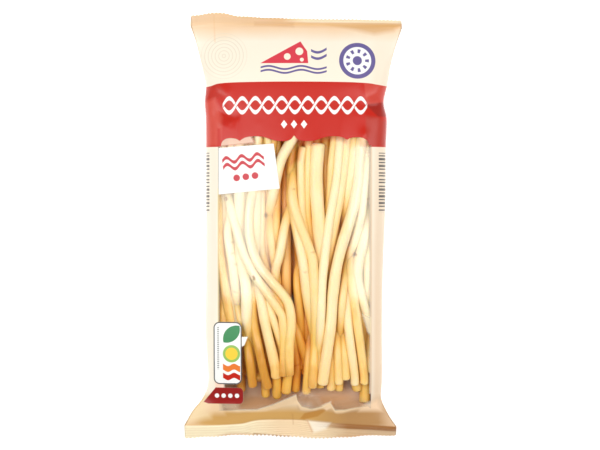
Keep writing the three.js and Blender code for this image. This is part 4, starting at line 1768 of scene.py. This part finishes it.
class Artwork:
    """The print of the pack, laid down field by field, with painted light and shade on its creases,
    its seals and the window's edges. clear is 1 in the window and 0 on the print, cover how far
    the print hides what lies under it, and milk where the clear film is crinkled.
    """

    SIDES = (-42.1, 44.2)
    FOOT = ((-44, -106), (-38.5, -105.7), (-20.4, -105.7), (-11.9, -102.9), (1.8, -96.9),
            (2.6, -100.5), (5, -103.6), (10.8, -105.1), (16, -103.8), (21, -101.4), (23.8, -105.8),
            (29.5, -105.7), (38, -104), (42.5, -103.4), (46, -106))
    FOLD_FOOT = ((-44, -107.6), (-38.5, -107.2), (-19.8, -107.2), (-13, -106.2), (-2.8, -103.4),
                 (1.5, -102.8), (3.5, -104.8), (8, -106.5), (12, -106.2), (17, -105.2), (21, -105),
                 (25, -108), (30, -107.3), (38, -106), (43, -106.2), (46, -108))
    SCALLOPS = ((-40.6, 43.6), (-35.5, 48.3), (-30, 46.8), (-21, 49.3), (-5.7, 46.5), (0.6, 49.7),
                (8, 46.5), (22.7, 49.3), (30.4, 47.4), (36.3, 48.8), (42.8, 44.3))
    CUSPS = (2, 5, 8)
    BAND_TOP = ((-60, 77.2), (-49, 77.6), (-41, 79.4), (-30, 79.9), (26, 80), (40, 79.6), (47, 78.8),
                (60, 76.8))
    BAND_FOOT = 43.5
    FIN_SPAN = (-60.3, 60.3)

    ROPE_MIDDLE = (1.1, 66.8)
    ROPE_TURNS = 11
    ROPE_TURN = 7.4
    ROPE_SWING = 4.0
    ROPE_HALF = 1.15
    ROPE_GAP = 1.8
    LOZENGE_MIDDLE = (0.6, 56.0)
    LOZENGE_PITCH = 5.6
    LOZENGE_HALF = 1.8
    WEDGE = ((-18.4, 90.6), (4.2, 103.2), (8, 97.5), (8.6, 90.6))
    WEDGE_HOLES = (((-3.2, 94.4), 1.9), ((3.6, 97.4), 2.2), ((5, 92.6), 1.1))
    BADGE_MIDDLE = (36.3, 92.2)
    BADGE_RADIUS = 10.3
    BADGE_FIELD = 7.9
    BADGE_HUB = 2.6
    BEADS = 9
    BEAD_RING = 5.5
    BEAD_HALF = 1.1
    RINGS_MIDDLE = (-39, 95)
    RINGS_RADIUS = 13
    LABEL = ((-41.9, 42.8), (-10.8, 45.2), (-7.4, 19.9), (-41.9, 16.7))
    LABEL_LEAN = 7
    LABEL_MIDDLE = -23.0
    LABEL_DOT = 1.9
    TAG_MIDDLE = (-36.8, -72.8)
    TAG_HALF = (8.0, 17.7)
    TAG_CORNER = 3.4
    TAG_RIM = 0.6
    LEAF = ((-31.8, -64.6), (-37.4, -59.2))
    LEAF_RADIUS = 7.6
    SUN_MIDDLE = (-34.6, -73.0)
    SUN_RADIUS = 3.5
    SUN_HALO = 4.9
    POINTED_TAG = ((-50.8, -101), (-43.8, -92.5), (-28.2, -92.5), (-28.2, -101.9), (-48, -101.9))
    POINTED_DOTS = (-37.4, -97.2)
    POINTED_PITCH = 3.8
    CODE_LEFT = ((-48.3, 23.5), (1.1, 16.8))
    CODE_RIGHT = ((50.4, 23.5), (2.0, 16.8))

    def __init__(self, sheet: Sheet) -> None:
        """Starts with a plain ground.

        Args:
            sheet: Where to draw, with its plan moved far off on the back of the pack.
        """
        self.sheet = sheet
        self.brow = sheet.y - sheet.height_line(self.SCALLOPS, self.CUSPS)
        self.foot = sheet.y - sheet.height_line(self.FOOT, range(len(self.FOOT)))
        self.clear = self.window()
        self.cover = self.clear.inverted()
        self.milk = self.crinkle()
        self.colour = sheet.mix(self.clear, self.ground(), Ink.GLARE)

    def lay(self, mask: Number, colour: Colour, cover: float = 0.0) -> None:
        """Lays a field of colour.

        Args:
            mask: 1 where the colour lies.
            colour: The colour.
            cover: How far the field covers the window: 0 leaves it clear, and 1 hides it.
        """
        self.colour = self.sheet.mix(mask, self.colour, colour)
        if cover:
            self.cover = self.cover.most(mask * cover)

    def lay_facet(self, facet: Facet, within: Number | None = None) -> None:
        """Lays a facet.

        Args:
            facet: The facet.
            within: 1 where the facet may lie, or None for anywhere.
        """
        patch = self.sheet.polygon(facet.corners).inside(facet.soft)
        if within is not None:
            patch = patch * within
        self.lay(patch * facet.strength, facet.colour, facet.cover / facet.strength)

    def window(self) -> Number:
        """1 in the window and 0 on the print round it."""
        left, right = self.SIDES
        sides = abs(self.sheet.x - (left + right) / 2) - (right - left) / 2
        return self.brow.most(sides).most(-self.foot).inside(0.3)

    def crinkle(self) -> Number:
        """The milky crinkles of the clear film.

        Returns:
            How milky the film is, from 0 to 1.
        """
        sheet = self.sheet
        drawn_out = sheet.vector("MULTIPLY", sheet.plan, (1.0, 0.12, 1.0)).outputs[0]
        streaks = sheet.noise(drawn_out, 0.16, 1.0).ramp(0.3, 0.62)
        left = sheet.box((-26.5, -10), (13.5, 30)).inside(10.0)
        right = sheet.box((38.5, 0), (5, 40)).inside(8.0)
        return (left + right) * (streaks * 0.5 + 0.5)

    def beyond_root(self, fin: Fin) -> Number:
        """How far a place lies beyond the root of a fin.

        Args:
            fin: The fin.

        Returns:
            The distance, which is negative on the filled part.
        """
        left, right = self.FIN_SPAN
        places = np.linspace(left, right, len(fin.shift))
        line = [(x, fin.towards * FIN_ROOT + shift) for x, shift in zip(places, fin.shift)]
        return (self.sheet.y - self.sheet.height_line(line)) * fin.towards

    def ground(self) -> Socket:
        """Cream film with painted shade: blush down the right side, amber and gold towards the
        seals, and tan in the middle of the back.

        Returns:
            Its colour.
        """
        sheet = self.sheet
        cloud = (sheet.noise(sheet.plan, 0.07, 1.0) - 0.5) * 3.0
        # Painted shade down the right side, deeper towards the lower end.
        right_shade = sheet.x.ramp(43, 47) * (-sheet.y).ramp(-125, 60)
        colour = sheet.mix(right_shade, Ink.CREAM, Ink.BLUSH)
        colour = self.upper_seal(colour, cloud)
        colour = self.lower_seal(colour, cloud)
        # Painted shade: tan in the middle of the back, whose inside lies in shade.
        back = (sheet.z - 4.0).inside(3.0) * (abs(sheet.true_x) - 42).inside(8.0)
        return sheet.mix(back * 0.9, colour, Ink.TAN)

    def upper_seal(self, colour: Paint, cloud: Number) -> Socket:
        """Painted shade at the header end: peach where the film turns down to the fin, and amber on
        the drooping fin, peach towards its left and pale at its tip on the right.
        """
        sheet = self.sheet
        beyond = self.beyond_root(TOP_FIN)
        left = (-sheet.x).ramp(5, 45)
        colour = sheet.mix((sheet.y + cloud).ramp(103, 111), colour, Ink.PEACH)
        fin = sheet.mix(left * 0.7, Ink.AMBER, Ink.PEACH)
        colour = sheet.mix((beyond + cloud * 0.3).ramp(-1.0, 1.5), colour, fin)
        tip = beyond.ramp(2.4, 3.2) * sheet.x.ramp(-6, 6)
        return sheet.mix(tip * 0.8, colour, Ink.PALE)

    def lower_seal(self, colour: Paint, cloud: Number) -> Socket:
        """Painted shade on the film that turns down to the lower fin: honey, walnut towards the
        right and peach at the corners. The fin is pale, darker in the middle, with painted shade on
        its right, along its crimps and in a band by its root on the right.
            cloud: Softens the change.

        Returns:
            The new ground.
        """
        sheet = self.sheet
        beyond = self.beyond_root(BOTTOM_FIN)
        right = sheet.x.ramp(9, 31)
        seal = sheet.mix(right, Ink.HONEY, Ink.WALNUT)
        seal = sheet.mix(abs(sheet.x + 1.5).ramp(50, 62) * 0.7, seal, Ink.PEACH)
        colour = sheet.mix((cloud - sheet.y).ramp(96, 107), colour, seal)
        middle = (abs(sheet.x) - 18).inside(20.0)
        fin = sheet.mix(middle * 0.8, Ink.PALE, Ink.FOLD)
        fin = sheet.mix(right, fin, Ink.SHADED_PEACH)
        crimps = (beyond * 4.2).math("SINE").ramp(-0.5, 1.0)
        fin = sheet.mix(crimps * 0.3, fin, Ink.FOLD)
        fin = sheet.mix(right * beyond.ramp(2.8, 3.8).inverted(), fin, Ink.UMBER)
        return sheet.mix(beyond.ramp(0.0, 0.6), colour, fin)

    def edges(self) -> None:
        """Pale bands down the window's sides: painted light over the shade that falls at its edges.
        """
        left = self.sheet.box((-41.9, -32), (0.4, 52)).inside(0.7)
        self.lay(left * 0.9, Ink.EDGE, 0.7)
        right = self.sheet.box((44.0, -26), (0.6, 70)).inside(0.9)
        self.lay(right, Ink.BLUSH, 0.8)

    def ornament(self) -> None:
        """Faint rings in the header."""
        away = self.sheet.disc(self.RINGS_MIDDLE, 0.0)
        rings = (abs((away * 0.5).math("PINGPONG", 1.0) - 0.5) - 0.14).inside(0.1)
        swirl = rings * (away - self.RINGS_RADIUS).inside(4.0)
        self.lay(swirl * 0.7, Ink.ORNAMENT)

    def red_field(self) -> None:
        """The red band, with painted light and shade on the facets of its crumpled sides."""
        sheet = self.sheet
        top = sheet.y - sheet.height_line(self.BAND_TOP)
        band = top.most(-(sheet.y - self.BAND_FOOT)).inside()
        self.lay(band, Ink.RED)
        for facet in BAND_FACETS:
            self.lay_facet(facet, within=band)

    def creases(self) -> None:
        """Painted light and shade on the creased film: a red-tinted painted shadow under the
        window's top edge, the facets, and a pale painted highlight along the lower fold with a
        brighter rim.
        """
        sheet = self.sheet
        # Painted shadow, tinted red by the band, on the strings just under the window's top edge.
        brow = self.brow.ramp(-3.4, 0.4) * self.clear * (abs(sheet.x - 16.5) - 14).inside(3.0)
        self.lay(brow, Ink.RED_SHADOW, 0.6)
        for facet in WINDOW_FACETS:
            self.lay_facet(facet, within=self.clear)
        for facet in SEAL_FACETS:
            self.lay_facet(facet)
        # A pale painted highlight along the lower fold, and a brighter rim at the window's foot.
        span = (abs(sheet.x - 1.0) - 38).inside(10.0)
        pale = (sheet.y - sheet.height_line(self.FOLD_FOOT)).ramp(0, 1.3)
        pale = pale * (self.foot - 0.5).inside(1.4) * span
        self.lay(pale * 0.85, Ink.FOLD, 0.95)
        rim = (abs(self.foot - 0.2) - 0.35).inside(0.5) * span
        self.lay(rim * 0.6, Ink.PALE, 0.95)

    def title(self) -> None:
        """A white rope of two strings, and a row of three lozenges under it."""
        sheet = self.sheet
        x, y = self.ROPE_MIDDLE
        half = self.ROPE_TURNS * self.ROPE_TURN / 2
        turn = (sheet.x - (x - half)) * (math.pi / self.ROPE_TURN)
        wave = turn.math("SINE") * self.ROPE_SWING
        over = turn.math("COSINE").ramp(-0.1, 0.1)
        one, two = abs(sheet.y - y - wave), abs(sheet.y - y + wave)
        under_two = (two - self.ROPE_GAP).inside(0.4) * over.inverted()
        under_one = (one - self.ROPE_GAP).inside(0.4) * over
        first = (one - self.ROPE_HALF).inside(0.4) * under_two.inverted()
        second = (two - self.ROPE_HALF).inside(0.4) * under_one.inverted()
        span = (abs(sheet.x - x) - half).inside(0.4)
        self.lay(first.most(second) * span, Ink.WHITE)
        x, y = self.LOZENGE_MIDDLE
        across = (sheet.x - x).math("PINGPONG", self.LOZENGE_PITCH / 2)
        lozenge = across + abs(sheet.y - y) * 0.75 - self.LOZENGE_HALF
        span = abs(sheet.x - x) - self.LOZENGE_PITCH * 1.5
        self.lay(lozenge.most(span).inside(), Ink.WHITE)

    def emblem(self) -> None:
        """A red wedge of cheese with holes, over two violet strings."""
        sheet = self.sheet
        wedge = sheet.polygon(self.WEDGE)
        for middle, radius in self.WEDGE_HOLES:
            wedge = wedge.most(-sheet.disc(middle, radius))
        self.lay(wedge.inside(), Ink.PINK)
        wave = (sheet.x * 0.34).math("SINE") * 0.9
        strings = abs(abs(sheet.y - 87 - wave) - 1.1) - 0.55
        tail = abs(abs(sheet.y - 96.8 - wave * 2.0) - 1.8) - 0.75
        tail = tail.most(abs(sheet.x - 14.6) - 4.4)
        self.lay(strings.most(abs(sheet.x - 0.4) - 18.6).least(tail).inside(), Ink.VIOLET)

    def badge(self) -> None:
        """A round badge with a ring of beads."""
        sheet = self.sheet
        x, y = self.BADGE_MIDDLE
        away = sheet.disc(self.BADGE_MIDDLE, 0.0)
        self.lay((away - self.BADGE_RADIUS).inside(), Ink.VIOLET)
        self.lay((away - self.BADGE_FIELD).inside(), Ink.WHITE)
        angle = (sheet.y - y).math("ARCTAN2", sheet.x - x)
        ring = (abs(away - self.BEAD_RING) - self.BEAD_HALF).inside()
        beads = (angle * self.BEADS).math("COSINE").ramp(0.1, 0.5) * ring
        self.lay(beads.most((away - self.BADGE_HUB).inside()), Ink.VIOLET)

    def codes(self) -> None:
        """A ladder of grey bars down each side."""
        sheet = self.sheet
        rows = (sheet.y * 3.3).math("SINE") + (sheet.y * 5.1).math("SINE") * 0.7
        ladders = sheet.box(*self.CODE_LEFT).least(sheet.box(*self.CODE_RIGHT))
        self.lay(rows.ramp(-0.1, 0.2) * ladders.inside() * 0.9, Ink.GREY)

    def label(self) -> None:
        """A white label askew, with a pair of waves over a row of dots."""
        sheet = self.sheet
        self.lay(sheet.polygon(self.LABEL).inside(), Ink.WHITE, cover=1.0)
        lean = math.radians(self.LABEL_LEAN)
        row = sheet.y * math.cos(lean) - sheet.x * math.sin(lean)
        along = sheet.x * math.cos(lean) + sheet.y * math.sin(lean)
        wave = (along * 0.72).math("SINE") * 1.5
        waves = (abs(abs(row - 38.2 - wave) - 1.9) - 1.0).most(abs(along + 23.4) - 11.8)
        across = (along - self.LABEL_MIDDLE).math("PINGPONG", 2.6).math("POWER", 2.0)
        dots = (across + (row - 29.6).math("POWER", 2.0)).math("SQRT") - self.LABEL_DOT
        dots = dots.most(abs(along - self.LABEL_MIDDLE) - 7.8)
        self.lay(waves.least(dots).inside(0.3), Ink.CRIMSON)

    def tag(self) -> None:
        """A white tag with a leaf, a sun and two waves."""
        sheet = self.sheet
        box = sheet.box(self.TAG_MIDDLE, self.TAG_HALF, self.TAG_CORNER)
        self.lay(box.inside(), Ink.GREY, cover=1.0)
        self.lay((box + self.TAG_RIM).inside(), Ink.WHITE)
        one, two = (sheet.disc(middle, self.LEAF_RADIUS) for middle in self.LEAF)
        self.lay(one.most(two).inside(), Ink.GREEN)
        sun = sheet.disc(self.SUN_MIDDLE, 0.0)
        self.lay((sun - self.SUN_HALO).inside(), Ink.LIGHT_GREEN)
        self.lay((sun - self.SUN_RADIUS).inside(), Ink.YELLOW)
        wave = (sheet.x * 0.9).math("SINE") * 0.7
        sides = abs(sheet.x - self.SUN_MIDDLE[0]) - self.SUN_HALO
        for y, half, colour in ((-81, 1.7, Ink.ORANGE), (-86, 1.5, Ink.RED)):
            self.lay((abs(sheet.y - y - wave) - half).most(sides).inside(), colour)
        dots = abs(sheet.y.math("PINGPONG", 1.2) - 0.6) - 0.3
        dots = dots.most(sheet.box((-42.2, -70), (0.5, 12)))
        self.lay(dots.inside() * 0.8, Ink.GREY)

    def weight(self) -> None:
        """A dark red pointed tag with a row of four dots."""
        sheet = self.sheet
        x, y = self.POINTED_DOTS
        shape = sheet.polygon(self.POINTED_TAG).most(sheet.box((-44, y), (15.8, 4.7), 2.2))
        self.lay(shape.inside(), Ink.DARK_RED, cover=1.0)
        half = self.POINTED_PITCH / 2
        dots = (sheet.x - (x - half)).math("PINGPONG", half).math("POWER", 2.0)
        dots = dots + (sheet.y - y).math("POWER", 2.0) - 1.6
        span = abs(sheet.x - x) - 2 * self.POINTED_PITCH
        self.lay(dots.most(span).inside(0.6), Ink.WHITE)

    def draw(self) -> None:
        """Lays all the fields."""
        self.edges()
        self.ornament()
        self.red_field()
        self.creases()
        self.title()
        self.emblem()
        self.badge()
        self.codes()
        self.label()
        self.tag()
        self.weight()


@dataclass(frozen=True)
class FilmFinish:
    """Glossy packing film, printed all over but for its window.

    shift is that of the plan. The veils are how far the clear film hides what lies under it: all
    over, at a glancing angle, and where it is milky. sheen is how metallic its reflections are.
    """

    shift: float
    gloss: float = 0.4
    printed_roughness: float = 0.3
    clear_roughness: float = 0.14
    veil: float = 0.008
    edge_veil: float = 0.6
    edge_power: float = 4.0
    milk_veil: float = 0.22
    milk_roughness: float = 0.3
    sheen: float = 0.9

    BACK_FROM = 0.5

    def make(self) -> bpy.types.Material:
        """Makes the material.

        Returns:
            The material, with its print drawn in the plan of the pack.
        """
        sheet = Sheet("printed_film", self.shift)
        around = sheet.node("ShaderNodeSeparateXYZ")
        sheet.link(sheet.places.outputs["UV"], around.inputs[0])
        back = Number(sheet.tree, around.outputs[0]).math("GREATER_THAN", self.BACK_FROM)
        sheet.move_away(back)
        artwork = Artwork(sheet)
        artwork.draw()
        printed, clear = artwork.cover, artwork.cover.inverted()
        shader = sheet.node("ShaderNodeBsdfPrincipled")
        sheet.link(artwork.colour, shader.inputs["Base Color"])
        shader.inputs["Specular IOR Level"].default_value = self.gloss
        roughness = printed * (self.printed_roughness - self.clear_roughness) + self.clear_roughness
        roughness = roughness + artwork.milk * clear * self.milk_roughness
        sheet.link(roughness.socket, shader.inputs["Roughness"])
        sheet.link((clear.ramp(0.7, 1.0) * self.sheen).socket, shader.inputs["Metallic"])
        edge = sheet.node("ShaderNodeLayerWeight")
        edge.inputs["Blend"].default_value = 0.5
        glance = Number(sheet.tree, edge.outputs["Facing"]).math("POWER", self.edge_power)
        veil = glance * self.edge_veil + artwork.milk * self.milk_veil + self.veil
        opacity = (printed + clear * veil).least(1.0)
        glass = sheet.node("ShaderNodeBsdfTransparent")
        mix = sheet.node("ShaderNodeMixShader")
        sheet.link(opacity.socket, mix.inputs[0])
        sheet.link(glass.outputs[0], mix.inputs[1])
        sheet.link(shader.outputs[0], mix.inputs[2])
        sheet.link(mix.outputs[0], sheet.output.inputs["Surface"])
        return sheet.material


# ---- Studio ----


@dataclass(frozen=True)
class Softbox:
    """A soft area light."""

    name: str
    place: Place
    size: Point
    power: float
    mirrored: bool = True

    def build(self) -> None:
        """Hangs the light, aimed at the pack."""
        deselect_all()
        bpy.ops.object.light_add(type="AREA", location=self.place)
        lamp = bpy.context.object
        lamp.name = self.name
        lamp.data.shape = "RECTANGLE"
        lamp.data.size, lamp.data.size_y = self.size
        lamp.data.energy = self.power
        lamp.visible_glossy = self.mirrored
        towards = -np.array(self.place)
        lamp.rotation_mode = "QUATERNION"
        lamp.rotation_quaternion = Vector(towards).to_track_quat("-Z", "Y")


@dataclass(frozen=True)
class Studio:
    """A pale floor, soft lights and a camera straight above the pack.

    scale is how many millimetres each of the frame_width pixels of a picture spans at the height
    of middle, the point that the camera looks at. distance and floor_size are in metres.
    """

    scale: float = 0.5667
    frame_width: int = 600
    distance: float = 1.5
    middle: Place = (3.97, 0.4, 14.0)
    sensor: float = 36.0
    floor_size: float = 6.0
    floor_drop: float = 0.1
    floor_tone: float = 0.9
    floor_glow: float = 0.5
    sky_light: float = 0.35
    lights: tuple[Softbox, ...] = (
        Softbox("left_softbox", (-0.72, 0.05, 1.26), (0.6, 1.5), 11.0),
        Softbox("right_softbox", (0.9, 0.05, 1.14), (0.5, 1.5), 8.5),
        Softbox("top_softbox", (0.0, 0.35, 1.9), (1.6, 1.6), 8.0, mirrored=False),
    )

    def build(self) -> None:
        """Sets up the floor, the lights and the camera."""
        self.lay_floor()
        for light in self.lights:
            light.build()
        self.light_sky()
        self.place_camera()

    def light_sky(self) -> None:
        """Soft light from all round."""
        world = bpy.data.worlds.new("studio")
        world.use_nodes = True
        background = world.node_tree.nodes["Background"]
        background.inputs["Color"].default_value = (1, 1, 1, 1)
        background.inputs["Strength"].default_value = self.sky_light
        bpy.context.scene.world = world
        bpy.context.scene.view_settings.view_transform = "Standard"

    def place_camera(self) -> None:
        """Hangs the camera straight above the pack, with its middle in the frame."""
        deselect_all()
        x, y, z = (v * MM for v in self.middle)
        bpy.ops.object.camera_add(location=(x, y, z + self.distance), rotation=(0, 0, 0))
        camera = bpy.context.object
        camera.name = "camera"
        width = self.scale * self.frame_width * MM
        camera.data.sensor_width = self.sensor
        camera.data.lens = self.sensor * self.distance / width
        bpy.context.scene.camera = camera

    def lay_floor(self) -> None:
        """A plain pale floor under the pack."""
        deselect_all()
        place = (0, 0, -self.floor_drop * MM)
        bpy.ops.mesh.primitive_plane_add(size=self.floor_size, location=place)
        floor = bpy.context.object
        floor.name = "floor"
        material = bpy.data.materials.new("pale_floor")
        material.use_nodes = True
        shader = material.node_tree.nodes["Principled BSDF"]
        shader.inputs["Base Color"].default_value = (*(self.floor_tone,) * 3, 1)
        shader.inputs["Roughness"].default_value = 0.9
        shader.inputs["Emission Color"].default_value = (1, 1, 1, 1)
        shader.inputs["Emission Strength"].default_value = self.floor_glow
        floor.data.materials.append(material)


# ---- The pack ----


# The lowest level of the strings that make up the upper piece.
SEEN_LEVEL = 3


def main() -> None:
    """Builds the strings, the bag round them and the studio."""
    tube = FilmTube(STATIONS)
    pile = StringPile(tube)
    pile.gather()
    pile.settle()
    drape = Drape(tube, pile)
    drape.build()
    bag, shift = FilmBag(tube, drape).build()
    finish_piece(bag, FilmFinish(shift).make())
    cheese = CheeseFinish().make()
    blank = StringBlank().build()
    seen = [i for i, level in enumerate(pile.levels) if level.max() >= SEEN_LEVEL]
    deep = [i for i in range(len(pile.levels)) if i not in seen]
    for name, chosen, seed in (("strings_upper", seen, 3), ("strings_lower", deep, 5)):
        piece = StringBatch(name, pile, chosen, shift, seed).build(blank)
        finish_piece(piece, cheese)
    bpy.data.objects.remove(blank)
    Studio().build()


if __name__ == "__main__":
    logging.basicConfig(level=logging.INFO, format="%(name)s %(message)s")
    main()
